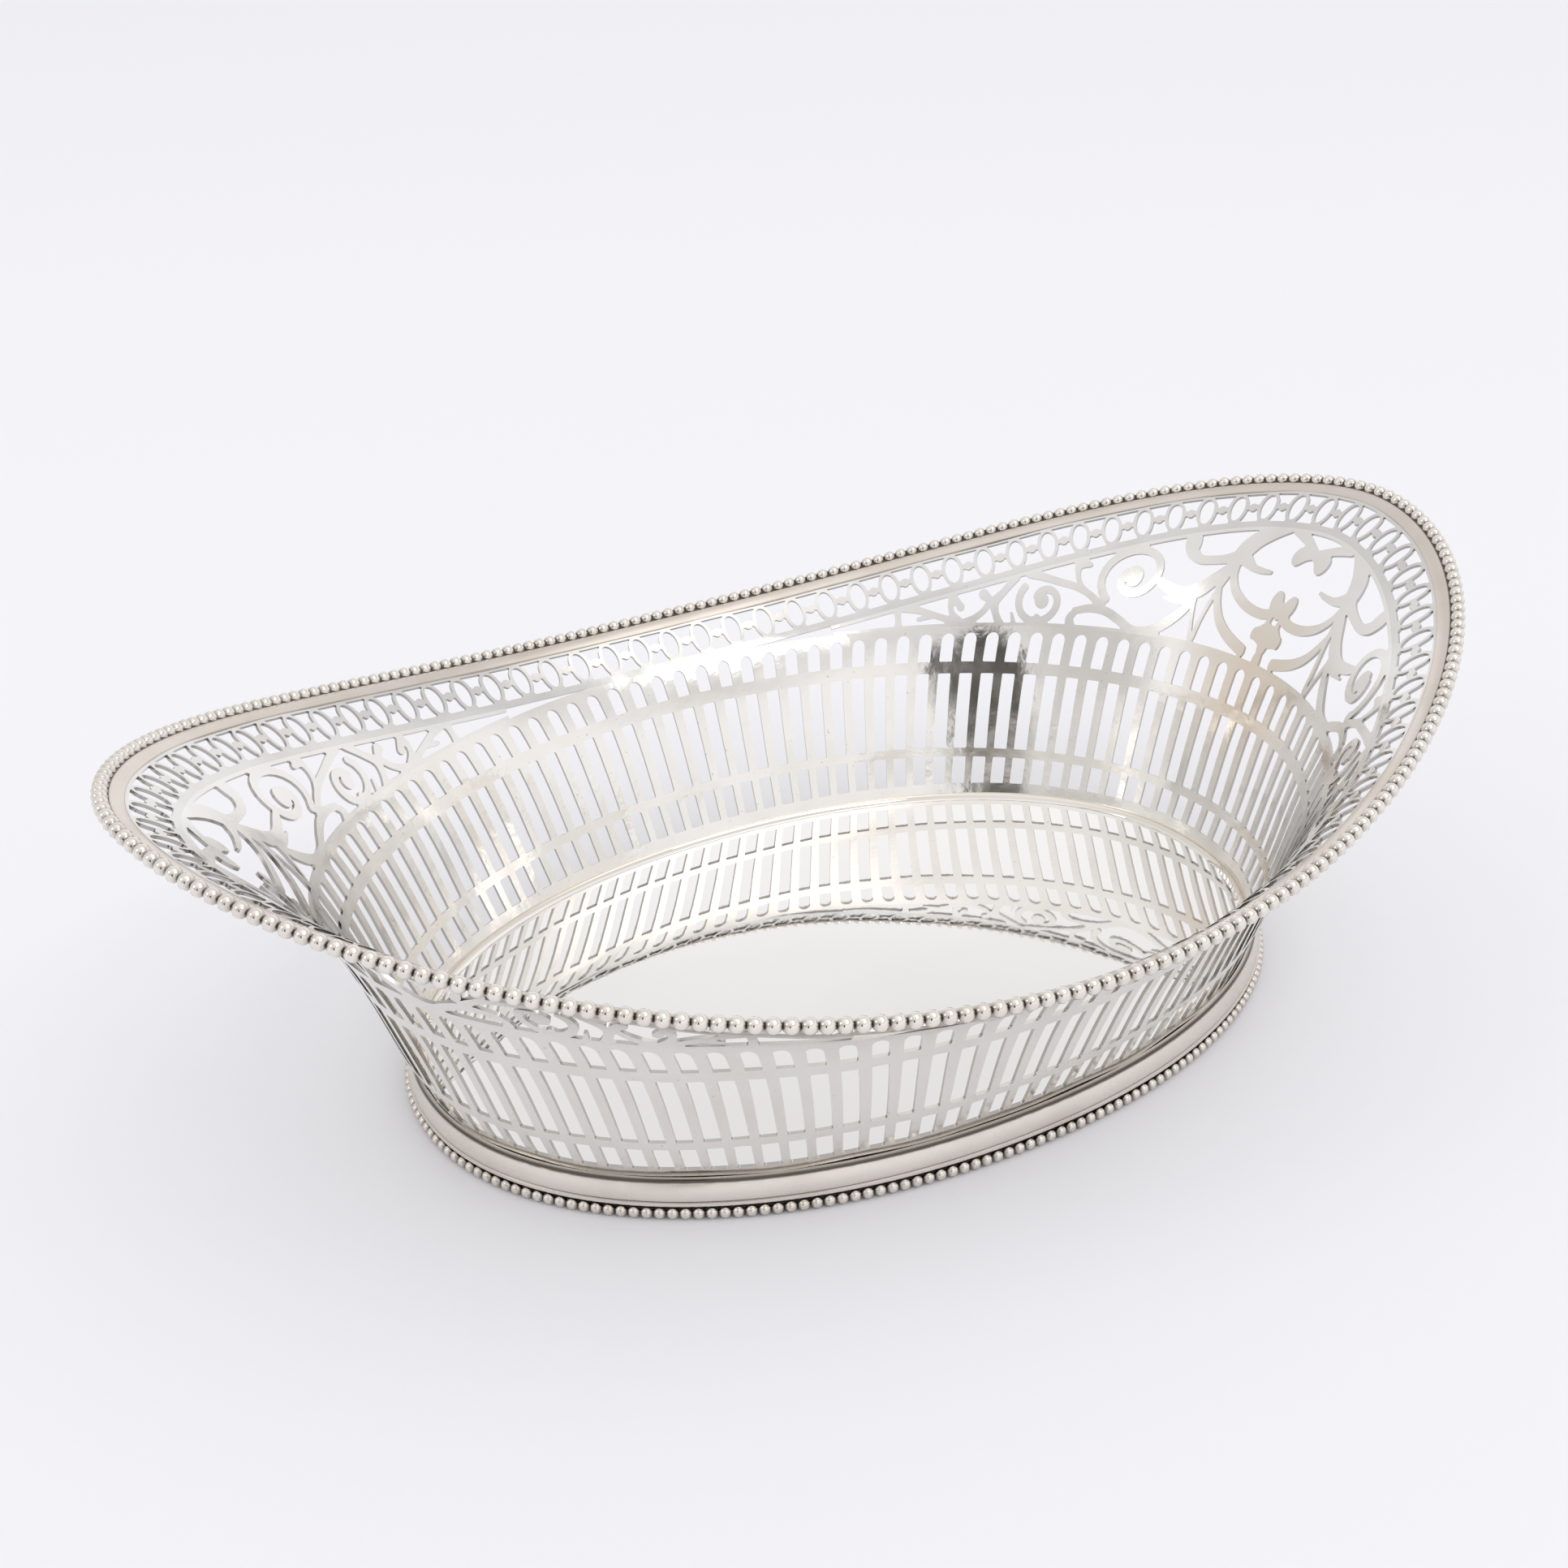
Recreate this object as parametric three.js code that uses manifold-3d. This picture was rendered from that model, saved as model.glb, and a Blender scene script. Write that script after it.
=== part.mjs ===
// A silver bread basket: an oval basket of pierced sheet silver with a flared rim that rises to both ends,
// a chain border of linked rings, pierced scroll panels in the ends, a flat base plate, and a low foot
// edged with beaded wire. Millimetres, X along the basket, Y across it, Z up from the surface it stands on.
import * as THREE from "three";
import Module from "manifold-3d";

const wasm = await Module();
wasm.setup();
const { CrossSection } = wasm;

// The wall is a smooth sheet carried by four control ovals: where it stands on the base plate, its belly,
// its flare, and the middle of the wire on its rim. Heights are given at the sides and at the ends.
const FOOT_OVAL = { halfLength: 112.9, halfWidth: 79.3, power: 2.1, sideHeight: 9.2, endHeight: 9.2 };
const BELLY_OVAL = { halfLength: 124, halfWidth: 90, power: 2, sideHeight: 29, endHeight: 30 };
const FLARE_OVAL = { halfLength: 126, halfWidth: 96, power: 2, sideHeight: 55, endHeight: 75 };
const RIM_OVAL = { halfLength: 170, halfWidth: 115.2, power: 1.87, sideHeight: 64, endHeight: 99.9 };

const SHEET = 1;
const GAP = 0.3;

// Rows of slots, from the foot up. Each height is [at the sides, at the ends].
const SLOT_COLUMNS = 108;
const SLOT_WIDTH = 3.8;
const ROW_HEIGHTS = [
  [[12.5, 12.2], [20.8, 18.6]],
  [[23.2, 21], [43.2, 43.4]],
  [[46.4, 46.6], [52.8, 56.3]],
];
const ARCH_BAND = 1.7;
const ARCH_RISE = 1.5;

// The border under the rim, as distances down the sheet from the wall's upper line.
const RING_COUNT = 90;
const RIM_BAND = [0.8, 3.8];
const BORDER = [4.1, 16.3];
const RING_MIDDLE = 9.6;
const RING_HOLE = { halfWidth: 2.5, halfHeight: 4.3 };
const SCROLL_TOP = 16.6;

const RIM_WIRE_RADIUS = 1.8;
const RIM_WIRE_RAISE = 1.3;
const FOOT_WIRE_RADIUS = 1.45;
const FOOT_BAND = {
  top: { halfLength: 114, halfWidth: 80.4, height: 8.9 },
  bottom: { halfLength: 115.4, halfWidth: 82, height: 3.3 },
  power: 2.1,
  thickness: 1.1,
};
const FOOT_WIRE = { halfLength: 115.6, halfWidth: 82.2, power: 2.1 };
const BASE_PLATE = { halfLength: 112.9, halfWidth: 79.3, power: 2.1, thickness: 1 };

// The wall, the border, the rim and the foot are made in four lengths, soldered end to end:
// two long sides and two ends. Each length is named by its place. The wall and the foot take a share of
// a turn, cut in the middle of a bar. The border and the rim take whole rings, cut between two rings.
const END_SHARE = 24 / SLOT_COLUMNS;
const SIDE_SHARE = 30 / SLOT_COLUMNS;
const LENGTHS = [
  { place: "right_end", middle: 0, share: END_SHARE, rings: 21 },
  { place: "back", middle: 0.25, share: SIDE_SHARE, rings: 24 },
  { place: "left_end", middle: 0.5, share: END_SHARE, rings: 21 },
  { place: "front", middle: 0.75, share: SIDE_SHARE, rings: 24 },
];

const silver = (color, roughness) => new THREE.MeshStandardMaterial({ color, roughness, metalness: 1 });
const FINISHES = {
  wall: silver(0xd9d7d2, 0.25),
  border: silver(0xd6d3cd, 0.28),
  scrolls: silver(0xdad8d2, 0.25),
  rim: silver(0xcfc6ba, 0.3),
  wire: silver(0xc9c7c3, 0.32),
  plate: silver(0xe2e0da, 0.15),
  foot: silver(0xd0cdc8, 0.28),
};

// A level oval whose height sweeps up from its sides to its ends.
class Oval extends THREE.Curve {
  constructor({ halfLength, halfWidth, power, sideHeight, endHeight }) {
    super();
    Object.assign(this, { halfLength, halfWidth, power, sideHeight, endHeight });
    this.arcLengthDivisions = 720;
  }

  getPoint(t, target = new THREE.Vector3()) {
    const angle = 2 * Math.PI * t;
    const share = (value) => Math.sign(value) * Math.abs(value) ** (2 / this.power);
    const along = share(Math.cos(angle));
    const across = share(Math.sin(angle));
    const height = this.sideHeight + (this.endHeight - this.sideHeight) * along ** 2;
    return target.set(this.halfLength * along, this.halfWidth * across, height);
  }

  // The point a share of the way round, measured along the oval from the +X end.
  around(turn) {
    return this.getPointAt(turn - Math.floor(turn));
  }
}

const controlOvals = [FOOT_OVAL, BELLY_OVAL, FLARE_OVAL, RIM_OVAL].map((sizes) => new Oval(sizes));
const rimOval = controlOvals[3];
const rimLength = rimOval.getLength();

// A point of the wall's middle surface: a cubic Bezier profile from the foot, rise 0, to the rim, rise 1.
function wallPoint(turn, rise) {
  const weights = [(1 - rise) ** 3, 3 * (1 - rise) ** 2 * rise, 3 * (1 - rise) * rise ** 2, rise ** 3];
  const point = new THREE.Vector3();
  controlOvals.forEach((oval, i) => point.addScaledVector(oval.around(turn), weights[i]));
  return point;
}

// How fast the surface moves with turn and with rise.
function wallSlopes(turn, rise) {
  const step = 1e-4;
  const along = wallPoint(turn + step, rise).sub(wallPoint(turn - step, rise)).divideScalar(2 * step);
  const up = wallPoint(turn, rise + step).sub(wallPoint(turn, rise - step)).divideScalar(2 * step);
  return { along, up };
}

function wallNormal(turn, rise) {
  const { along, up } = wallSlopes(turn, rise);
  return along.cross(up).normalize();
}

// Walks down the wall from its upper line, square to its levels, and gives the turn and rise reached.
// A distance below 0 leads up, past the line.
function walkDown(rimPlace, distance) {
  const steps = Math.max(1, Math.ceil(distance / 1.5));
  let turn = rimPlace / rimLength;
  let rise = 1;
  for (let i = 0; i < steps; i += 1) {
    const { along, up } = wallSlopes(turn, rise);
    const drift = up.dot(along) / along.lengthSq();
    const pace = along.multiplyScalar(drift).sub(up).length();
    const drop = distance / steps / pace;
    turn += drift * drop;
    rise -= drop;
  }
  return [turn, rise];
}

function riseAtHeight(turn, height) {
  let low = 0;
  let high = 1;
  for (let i = 0; i < 24; i += 1) {
    const middle = (low + high) / 2;
    if (wallPoint(turn, middle).z < height) low = middle;
    else high = middle;
  }
  return (low + high) / 2;
}

// Share of the way from a side, 0, to an end, 1, that sweeps levels up.
function endShare(turn) {
  return (rimOval.around(turn).x / RIM_OVAL.halfLength) ** 2;
}

function levelHeight(turn, [side, end]) {
  return side + (end - side) * endShare(turn);
}

// The lower edge of the border, kept as rises at even turns, so that the wall's top can stay under it.
const BORDER_EDGE_SAMPLES = 240;
const borderEdge = Array.from({ length: BORDER_EDGE_SAMPLES + 1 }, (_, i) =>
  walkDown((i / BORDER_EDGE_SAMPLES) * rimLength, BORDER[1] + GAP));

function riseUnderBorder(turn) {
  const wrapped = turn - Math.floor(turn);
  let i = borderEdge.findIndex(([edgeTurn]) => edgeTurn > wrapped);
  if (i < 1) i = wrapped < borderEdge[0][0] ? 1 : BORDER_EDGE_SAMPLES;
  const [lowTurn, lowRise] = borderEdge[i - 1];
  const [highTurn, highRise] = borderEdge[i];
  return THREE.MathUtils.mapLinear(wrapped, lowTurn, highTurn, lowRise, highRise);
}

function wallTopRise(turn) {
  const [side, end] = ROW_HEIGHTS[2][1];
  const band = riseAtHeight(turn, levelHeight(turn, [side + ARCH_BAND, end + ARCH_BAND]));
  return Math.min(band, riseUnderBorder(turn));
}

// A pierced sheet: flat cells of [turn, rise] corners, thickened both ways along the wall's normal.
// Edges that only one cell uses, round the holes and the sheet, get a wall through the thickness.
class PiercedSheet {
  constructor() {
    this.corners = [];
    this.indexes = new Map();
    this.triangles = [];
  }

  corner([turn, rise]) {
    const key = `${turn.toFixed(6)} ${rise.toFixed(5)}`;
    if (!this.indexes.has(key)) {
      this.indexes.set(key, this.corners.length);
      this.corners.push([turn, rise]);
    }
    return this.indexes.get(key);
  }

  addCell(outline, holes = []) {
    const flat = (path) => path.map(([turn, rise]) => new THREE.Vector2(turn * rimLength, rise * 70));
    const corners = [outline, ...holes].flat().map((corner) => this.corner(corner));
    const points = [outline, ...holes].flatMap(flat);
    for (const [a, b, c] of THREE.ShapeUtils.triangulateShape(flat(outline), holes.map(flat))) {
      const turned = THREE.ShapeUtils.area([points[a], points[b], points[c]]) < 0;
      const order = turned ? [a, c, b] : [a, b, c];
      this.triangles.push(order.map((i) => corners[i]));
    }
  }

  // Adds a flat section whose corners place puts on the wall.
  addSection(section, place) {
    const polygons = section.toPolygons();
    const corners = polygons.flat().map((at) => this.corner(place(at)));
    for (const [a, b, c] of wasm.triangulate(polygons)) {
      this.triangles.push([corners[a], corners[c], corners[b]]);
    }
  }

  build() {
    const positions = [];
    for (const side of [0.5, -0.5]) {
      for (const [turn, rise] of this.corners) {
        const offset = wallNormal(turn, rise).multiplyScalar(side * SHEET);
        positions.push(...wallPoint(turn, rise).add(offset));
      }
    }
    const count = this.corners.length;
    const edges = new Set();
    for (const [a, b, c] of this.triangles) {
      for (const [from, to] of [[a, b], [b, c], [c, a]]) edges.add(`${from} ${to}`);
    }
    const index = this.triangles.flatMap(([a, b, c]) => [a, b, c, a + count, c + count, b + count]);
    for (const edge of edges) {
      const [from, to] = edge.split(" ").map(Number);
      if (edges.has(`${to} ${from}`)) continue;
      index.push(to, from, from + count, to, from + count, to + count);
    }
    return makeGeometry(positions, index);
  }
}

function makeGeometry(positions, index) {
  const geometry = new THREE.BufferGeometry();
  geometry.setAttribute("position", new THREE.Float32BufferAttribute(positions, 3));
  geometry.setIndex(index);
  return geometry;
}

// One slotted length of the wall. A column of slots has straight sides; stiles stand between the columns.
function slottedWall(middle, share) {
  const sheet = new PiercedSheet();
  const columns = Math.round(share * SLOT_COLUMNS);
  const start = middle - share / 2;
  const levels = [[FOOT_OVAL.sideHeight, FOOT_OVAL.endHeight], ...ROW_HEIGHTS.flat()];
  const topLevel = levels.length;
  const riseOf = (turn, level) => {
    if (level === topLevel) return wallTopRise(turn);
    const spring = level === topLevel - 1 ? ARCH_RISE : 0;
    return riseAtHeight(turn, levelHeight(turn, levels[level]) - spring);
  };
  const line = (cornerAt) => Array.from({ length: topLevel + 1 }, (_, level) => cornerAt(level));
  const side = (column, hand) => line((level) => {
    const turn = start + (column + 0.5) / SLOT_COLUMNS;
    const rise = riseOf(turn, level);
    const halfSlot = SLOT_WIDTH / 2 / wallSlopes(turn, rise).along.length();
    return [turn + hand * halfSlot, rise];
  });
  const seam = (turn) => line((level) => [turn, riseOf(turn, level)]);
  const seamHalf = GAP / 2 / controlOvals[0].getLength();
  let previous = seam(start + seamHalf);
  for (let column = 0; column < columns; column += 1) {
    const left = side(column, -1);
    const right = side(column, 1);
    addStile(sheet, previous, left);
    for (const level of [0, 2, 4]) {
      sheet.addCell([left[level], right[level], right[level + 1], left[level + 1]]);
    }
    const crownRise = riseAtHeight(left[6][0], levelHeight(left[6][0], levels[6]));
    const crown = [(left[6][0] + right[6][0]) / 2, crownRise];
    sheet.addCell([left[6], crown, right[6], right[7], left[7]]);
    previous = right;
  }
  addStile(sheet, previous, seam(start + share - seamHalf));
  return sheet.build();
}

function addStile(sheet, left, right) {
  for (let level = 0; level + 1 < left.length; level += 1) {
    sheet.addCell([left[level], right[level], right[level + 1], left[level + 1]]);
  }
}

// One length of the border: a row of upright oval piercings.
function piercedBorder(middle, rings) {
  const sheet = new PiercedSheet();
  const pitch = rimLength / RING_COUNT;
  const start = middle * rimLength - (rings * pitch) / 2;
  for (let ring = 0; ring < rings; ring += 1) {
    const left = start + ring * pitch + (ring === 0 ? GAP / 2 : 0);
    const right = start + (ring + 1) * pitch - (ring === rings - 1 ? GAP / 2 : 0);
    const centre = start + (ring + 0.5) * pitch;
    const outline = [[left, BORDER[1]], [right, BORDER[1]], [right, BORDER[0]], [left, BORDER[0]]];
    const hole = [30, 90, 150, 210, 270, 330].map((degrees) => {
      const angle = THREE.MathUtils.degToRad(degrees);
      const x = centre + RING_HOLE.halfWidth * 1.08 * Math.cos(angle);
      return [x, RING_MIDDLE + RING_HOLE.halfHeight * Math.sin(angle)];
    });
    sheet.addCell(outline.map((at) => walkDown(...at)), [hole.map((at) => walkDown(...at))]);
  }
  return sheet.build();
}

// A bar swept through stations, each a list of section corners, with flat ends.
function sweep(stations) {
  const sides = stations[0].length;
  const positions = stations.flatMap((section) => section.flatMap((corner) => corner.toArray()));
  const index = [];
  for (let i = 0; i + 1 < stations.length; i += 1) {
    for (let j = 0; j < sides; j += 1) {
      const a = i * sides + j;
      const b = i * sides + ((j + 1) % sides);
      index.push(a, b + sides, b, a, a + sides, b + sides);
    }
  }
  const last = (stations.length - 1) * sides;
  for (let j = 1; j + 1 < sides; j += 1) {
    index.push(0, j, j + 1, last, last + j + 1, last + j);
  }
  return makeGeometry(positions, index);
}

// One length of a wire or band that follows an oval. The section lists [out, up] corners, anticlockwise
// when seen along the turn, and sectionAt gives the middle, the outward and the upward direction.
function ovalLength({ middle, share }, steps, section, frameAt, gap = GAP) {
  const half = share / 2 - gap / 2 / rimLength;
  const stations = Array.from({ length: steps + 1 }, (_, i) => {
    const { centre, out, up } = frameAt(middle + half * ((2 * i) / steps - 1));
    return section.map(([x, y]) => centre.clone().addScaledVector(out, x).addScaledVector(up, y));
  });
  return sweep(stations);
}

// A round wire's section, with a flat at the bottom for the foot to stand on.
function roundSection(radius, sides) {
  const corner = radius / Math.cos(Math.PI / sides);
  return Array.from({ length: sides }, (_, i) => {
    const angle = (2 * Math.PI * i) / sides;
    return [corner * Math.cos(angle), corner * Math.sin(angle)];
  });
}

// The frame on the wall a distance under the rim: outward is the sheet's normal, upward runs up the sheet.
function rimFrame(distance) {
  return (turn) => {
    const [wallTurn, rise] = walkDown(turn * rimLength, distance);
    const { along, up } = wallSlopes(wallTurn, rise);
    const out = along.clone().cross(up).normalize();
    const upward = out.clone().cross(along).normalize();
    return { centre: wallPoint(wallTurn, rise), out, up: upward };
  };
}

// The frame on a level oval: outward is level and square to the oval.
function levelFrame(oval) {
  return (turn) => {
    const along = oval.around(turn + 1e-4).sub(oval.around(turn - 1e-4));
    const out = new THREE.Vector3(along.y, -along.x, 0).normalize();
    return { centre: oval.around(turn), out, up: new THREE.Vector3(0, 0, 1) };
  };
}

function levelOval({ halfLength, halfWidth, power }, height) {
  return new Oval({ halfLength, halfWidth, power, sideHeight: height, endHeight: height });
}

// The rim's pieces have one step for each ring of the border, so that their facets lie side by side.
// A length along the rim, bent once for each of its rings.
function rimLengthOf({ middle, rings }, section, frameAt) {
  return ovalLength({ middle, share: rings / RING_COUNT }, rings, section, frameAt);
}

function rimWire(length) {
  return rimLengthOf(length, roundSection(RIM_WIRE_RADIUS, 6), rimFrame(-RIM_WIRE_RAISE));
}

function rimBand(length) {
  const [top, bottom] = RIM_BAND;
  const half = (bottom - top) / 2;
  const thick = 0.8;
  const section = [[thick, -half], [thick, half], [-thick, half], [-thick, -half]];
  return rimLengthOf(length, section, rimFrame((top + bottom) / 2));
}

function footWire(length) {
  const oval = levelOval(FOOT_WIRE, FOOT_WIRE_RADIUS);
  return ovalLength(length, 18, roundSection(FOOT_WIRE_RADIUS, 6), levelFrame(oval));
}

function footBand(length) {
  const { top, bottom, power, thickness } = FOOT_BAND;
  const frame = levelFrame(levelOval({ ...top, power }, top.height));
  const drop = top.height - bottom.height;
  const spread = bottom.halfLength - top.halfLength;
  const half = thickness / 2;
  const section = [[spread + half, -drop], [half, 0], [-half, 0], [spread - half, -drop]];
  return ovalLength(length, 18, section, frame);
}

function basePlate() {
  const oval = new Oval({ ...BASE_PLATE, sideHeight: 0, endHeight: 0 });
  const steps = 72;
  const outline = Array.from({ length: steps }, (_, i) => oval.around(i / steps));
  const shape = new THREE.Shape(outline.map((point) => new THREE.Vector2(point.x, point.y)));
  return new THREE.ExtrudeGeometry(shape, { depth: BASE_PLATE.thickness, bevelEnabled: false });
}

// The scrollwork of an end panel, as tapered strokes for its right half. A stroke runs through stations of
// [place along the rim from the end's middle, distance down from the rim, width].
const STROKES = {
  stem: [[13, 17, 3.6], [8, 18.8, 3.2], [3.5, 21, 2.4], [0, 23.6, 2]],
  bulb: [[0, 23.9, 2.2], [4.6, 25.3, 4.8], [8.2, 25.2, 4.6], [10.8, 24.2, 2]],
  shoulder: [[18, 17.4, 1.6], [24, 18.8, 3], [28.5, 22.2, 5.4], [32.5, 26.4, 6], [34.5, 29.5, 3.6]],
  inwardTip: [[32, 26.6, 3.6], [26, 29.3, 1.9], [19.5, 30.9, 0.6]],
  hook: [
    [33, 25.4, 2.8], [38, 25.4, 1.7], [44, 25.1, 1.6], [49.2, 23.8, 1.8], [51.9, 20.9, 2.2],
    [50.6, 17.4, 4.6],
  ],
  hookBud: [[51.4, 18.4, 3], [48.6, 19.6, 3.4], [47, 20.6, 2]],
  innerArc: [
    [30.6, 28.4, 2.8], [30, 33.5, 2.4], [26.6, 38.2, 2.4], [19, 41.9, 2.4], [11, 43.5, 2.2],
    [4, 44.4, 2.2],
  ],
  outerArc: [
    [34, 28, 2.8], [36.8, 33.5, 2.4], [36.4, 39, 2.5], [33.4, 44.2, 2.6], [28.6, 48.4, 2.6], [21, 51.6, 2.6],
    [10, 53.6, 2.4],
  ],
  upperFlower: [[-1, 39.8, 4.4], [4, 39, 4.8], [8, 38.9, 4.2], [11, 39.4, 2.4]],
  flowerNeck: [[4.6, 39, 4.6], [4.3, 42.4, 3], [4.8, 47, 3.2]],
  lowerFlower: [[-1, 50.2, 7], [4, 49.5, 8], [8, 49, 5.8], [11, 48.4, 2.4]],
  flowerFoot: [[0, 51, 12], [0, 57, 14]],
  blade: [[35, 28, 2.4], [40.5, 33.2, 4.4], [47, 35.8, 4.4], [53, 34.9, 3.4], [61.5, 30.6, 3.2]],
  bladeFoot: [[45, 37, 3], [49.5, 40.2, 1.9], [56, 43, 1.8], [64, 45.4, 1.8]],
  bladeStem: [[44.6, 37, 2.6], [44.9, 42, 1.6], [44, 49.5, 1.7]],
  vine: [[63, 45.6, 2.4], [71.5, 39.6, 2.8], [78, 33.4, 2.8], [84, 28.4, 2.4], [93, 21.4, 2.2]],
  borderHook: [[85.6, 16.6, 4.4], [86.9, 20.6, 1.8], [86.2, 24.4, 1.5], [83, 28.8, 1.4]],
  borderHookTip: [[86, 18, 3.4], [83.6, 19, 2.2], [81.8, 20.2, 0.8]],
  lowLeaf: [[71, 40.6, 2.2], [77, 37.4, 2.3], [83, 34.2, 2.4], [88, 32.5, 2], [92, 33.2, 1.8]],
  lowLeafCurl: [[92, 33, 2], [90.4, 34.8, 2.6], [89.8, 38.6, 3.6]],
  rightLeaf: [
    [106, 17.8, 3.2], [111.2, 20.4, 1.9], [114.6, 23.9, 1.7], [115.2, 27.2, 1.7], [113.4, 31.5, 1.8],
  ],
  sprig: [[118.6, 16.6, 3.8], [118, 20.2, 2], [116.8, 22.4, 1.6], [120.6, 24.9, 1.5], [125, 27.4, 1.8]],
  sprigBud: [[129.2, 16.8, 2], [128.8, 20, 1.7], [126.6, 21.4, 2.2]],
  post: [[129.2, 16.8, 2], [129.3, 21.5, 1.9], [128.4, 26.8, 2.8]],
  strut: [[128.6, 24.8, 1.7], [136.4, 21, 1.6], [144.5, 17, 1.8]],
  bar: [[146.8, 16.8, 1.8], [147.2, 22.6, 1.8]],
};
// Spirals that wind in from the first radius to the second, ending in a round head.
const VOLUTES = [
  { centre: [67.4, 27], radii: [11.4, 3.6], start: 45, turns: -1.15, width: 2.7, head: 3.2 },
  { centre: [99.5, 26.2], radii: [8.4, 2.4], start: -150, turns: 1.1, width: 2.5, head: 2.4 },
];

// The rim place, counted from an end's middle, where the crescent between border and wall runs out.
const CRESCENT_HALF = 168;
const CRESCENT_STEPS = 56;
const STRIP = 12;
const CRESCENT_GAP = 0.7;
const FRAME_WIDTH = 1.2;
const OUTLINE_STEP = 2.2;
const OUTLINE_TOLERANCE = 0.22;

// The outline of a stroke: its stations' widths set off square to both sides of a smooth curve.
function strokeOutline(stations) {
  const curve = new THREE.CatmullRomCurve3(stations.map((station) => new THREE.Vector3(...station)));
  const steps = Math.ceil(curve.getLength() / OUTLINE_STEP);
  const side = (hand) => Array.from({ length: steps + 1 }, (_, i) => {
    const { x, y, z: width } = curve.getPoint(i / steps);
    const tangent = curve.getTangent(i / steps).setZ(0).normalize();
    return [x - (hand * tangent.y * width) / 2, y + (hand * tangent.x * width) / 2];
  });
  return [...side(1), ...side(-1).reverse()];
}

function voluteStations({ centre, radii, start, turns, width }) {
  const steps = Math.ceil(Math.abs(turns) * 12);
  return Array.from({ length: steps + 1 }, (_, i) => {
    const share = i / steps;
    const radius = THREE.MathUtils.lerp(radii[0], radii[1], share ** 1.5);
    const angle = THREE.MathUtils.degToRad(start) + 2 * Math.PI * turns * share;
    return [centre[0] + radius * Math.cos(angle), centre[1] + radius * Math.sin(angle), width];
  });
}

// The shape of all strokes of the panel's right half, as one flat section.
function scrollwork() {
  const heads = VOLUTES.map(({ centre, head }) => CrossSection.circle(head, 10).translate(centre));
  const strokes = [...Object.values(STROKES), ...VOLUTES.map(voluteStations)].map((stations) => (
    new CrossSection([strokeOutline(stations)], "NonZero")
  ));
  const half = CrossSection.union([...strokes, ...heads]);
  return half.add(half.mirror([1, 0]));
}

// An end's scroll panel: the crescent of sheet between the border and the slotted wall, cut to the
// scrollwork inside its frame. It is laid on the wall in strips, so that its facets follow the curve.
function scrollPanel(middle) {
  const place = (at) => walkDown(middle * rimLength + at[0], at[1]);
  const stepLength = (2 * CRESCENT_HALF) / CRESCENT_STEPS;
  const steps = Array.from({ length: CRESCENT_STEPS + 1 }, (_, i) => i * stepLength - CRESCENT_HALF);
  const top = steps.map((along) => [along, SCROLL_TOP]);
  const bottom = steps.map((along) => [along, distanceToWall(middle, along)]);
  const crescent = new CrossSection([[...top, ...bottom.reverse()]], "NonZero");
  const frame = crescent.subtract(crescent.offset(-FRAME_WIDTH, "Miter"));
  const panel = scrollwork().intersect(crescent).add(frame).simplify(OUTLINE_TOLERANCE);
  const sheet = new PiercedSheet();
  for (let left = -CRESCENT_HALF; left < CRESCENT_HALF; left += STRIP) {
    const strip = CrossSection.square([STRIP, rimLength]).translate([left, 0]).intersect(panel);
    sheet.addSection(strip, place);
  }
  return sheet.build();
}

// How far down from the rim the panel's lower edge lies, clear of the wall, at a place from an end's middle.
function distanceToWall(middle, along) {
  let low = SCROLL_TOP;
  let high = 60;
  for (let i = 0; i < 16; i += 1) {
    const down = (low + high) / 2;
    const [turn, rise] = walkDown(middle * rimLength + along, down);
    if (rise > wallTopRise(turn)) low = down;
    else high = down;
  }
  return Math.max(low - CRESCENT_GAP, SCROLL_TOP + 0.1);
}

function named(name, geometry, material) {
  const mesh = new THREE.Mesh(geometry, material);
  mesh.name = name;
  return mesh;
}

const basket = new THREE.Group();
for (const length of LENGTHS) {
  basket.add(named(`wall_${length.place}`, slottedWall(length.middle, length.share), FINISHES.wall));
  basket.add(named(`border_${length.place}`, piercedBorder(length.middle, length.rings), FINISHES.border));
  basket.add(named(`rim_band_${length.place}`, rimBand(length), FINISHES.rim));
  basket.add(named(`rim_wire_${length.place}`, rimWire(length), FINISHES.wire));
  basket.add(named(`foot_band_${length.place}`, footBand(length), FINISHES.foot));
  basket.add(named(`foot_wire_${length.place}`, footWire(length), FINISHES.wire));
}
basket.add(named("scroll_panel_right", scrollPanel(0), FINISHES.scrolls));
basket.add(named("scroll_panel_left", scrollPanel(0.5), FINISHES.scrolls));

const plate = named("base_plate", basePlate(), FINISHES.plate);
plate.position.z = FOOT_OVAL.sideHeight - GAP - BASE_PLATE.thickness;
basket.add(plate);

export default basket;
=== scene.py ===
"""The looks of an oval bread basket of pierced sheet silver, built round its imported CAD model.

The wall is one smooth sheet. Every pierced piece is cut from a grid that lies on that sheet, and every wire,
band and edge follows it. A piece's lengths are millimetres until its mesh is made, which is in metres, as
finishes, lamps and floor are.
"""

import logging
from collections.abc import Callable, Sequence
from dataclasses import dataclass, field
from enum import Enum
from functools import cached_property

import bpy
import numpy as np
from mathutils import Matrix, Vector


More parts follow.
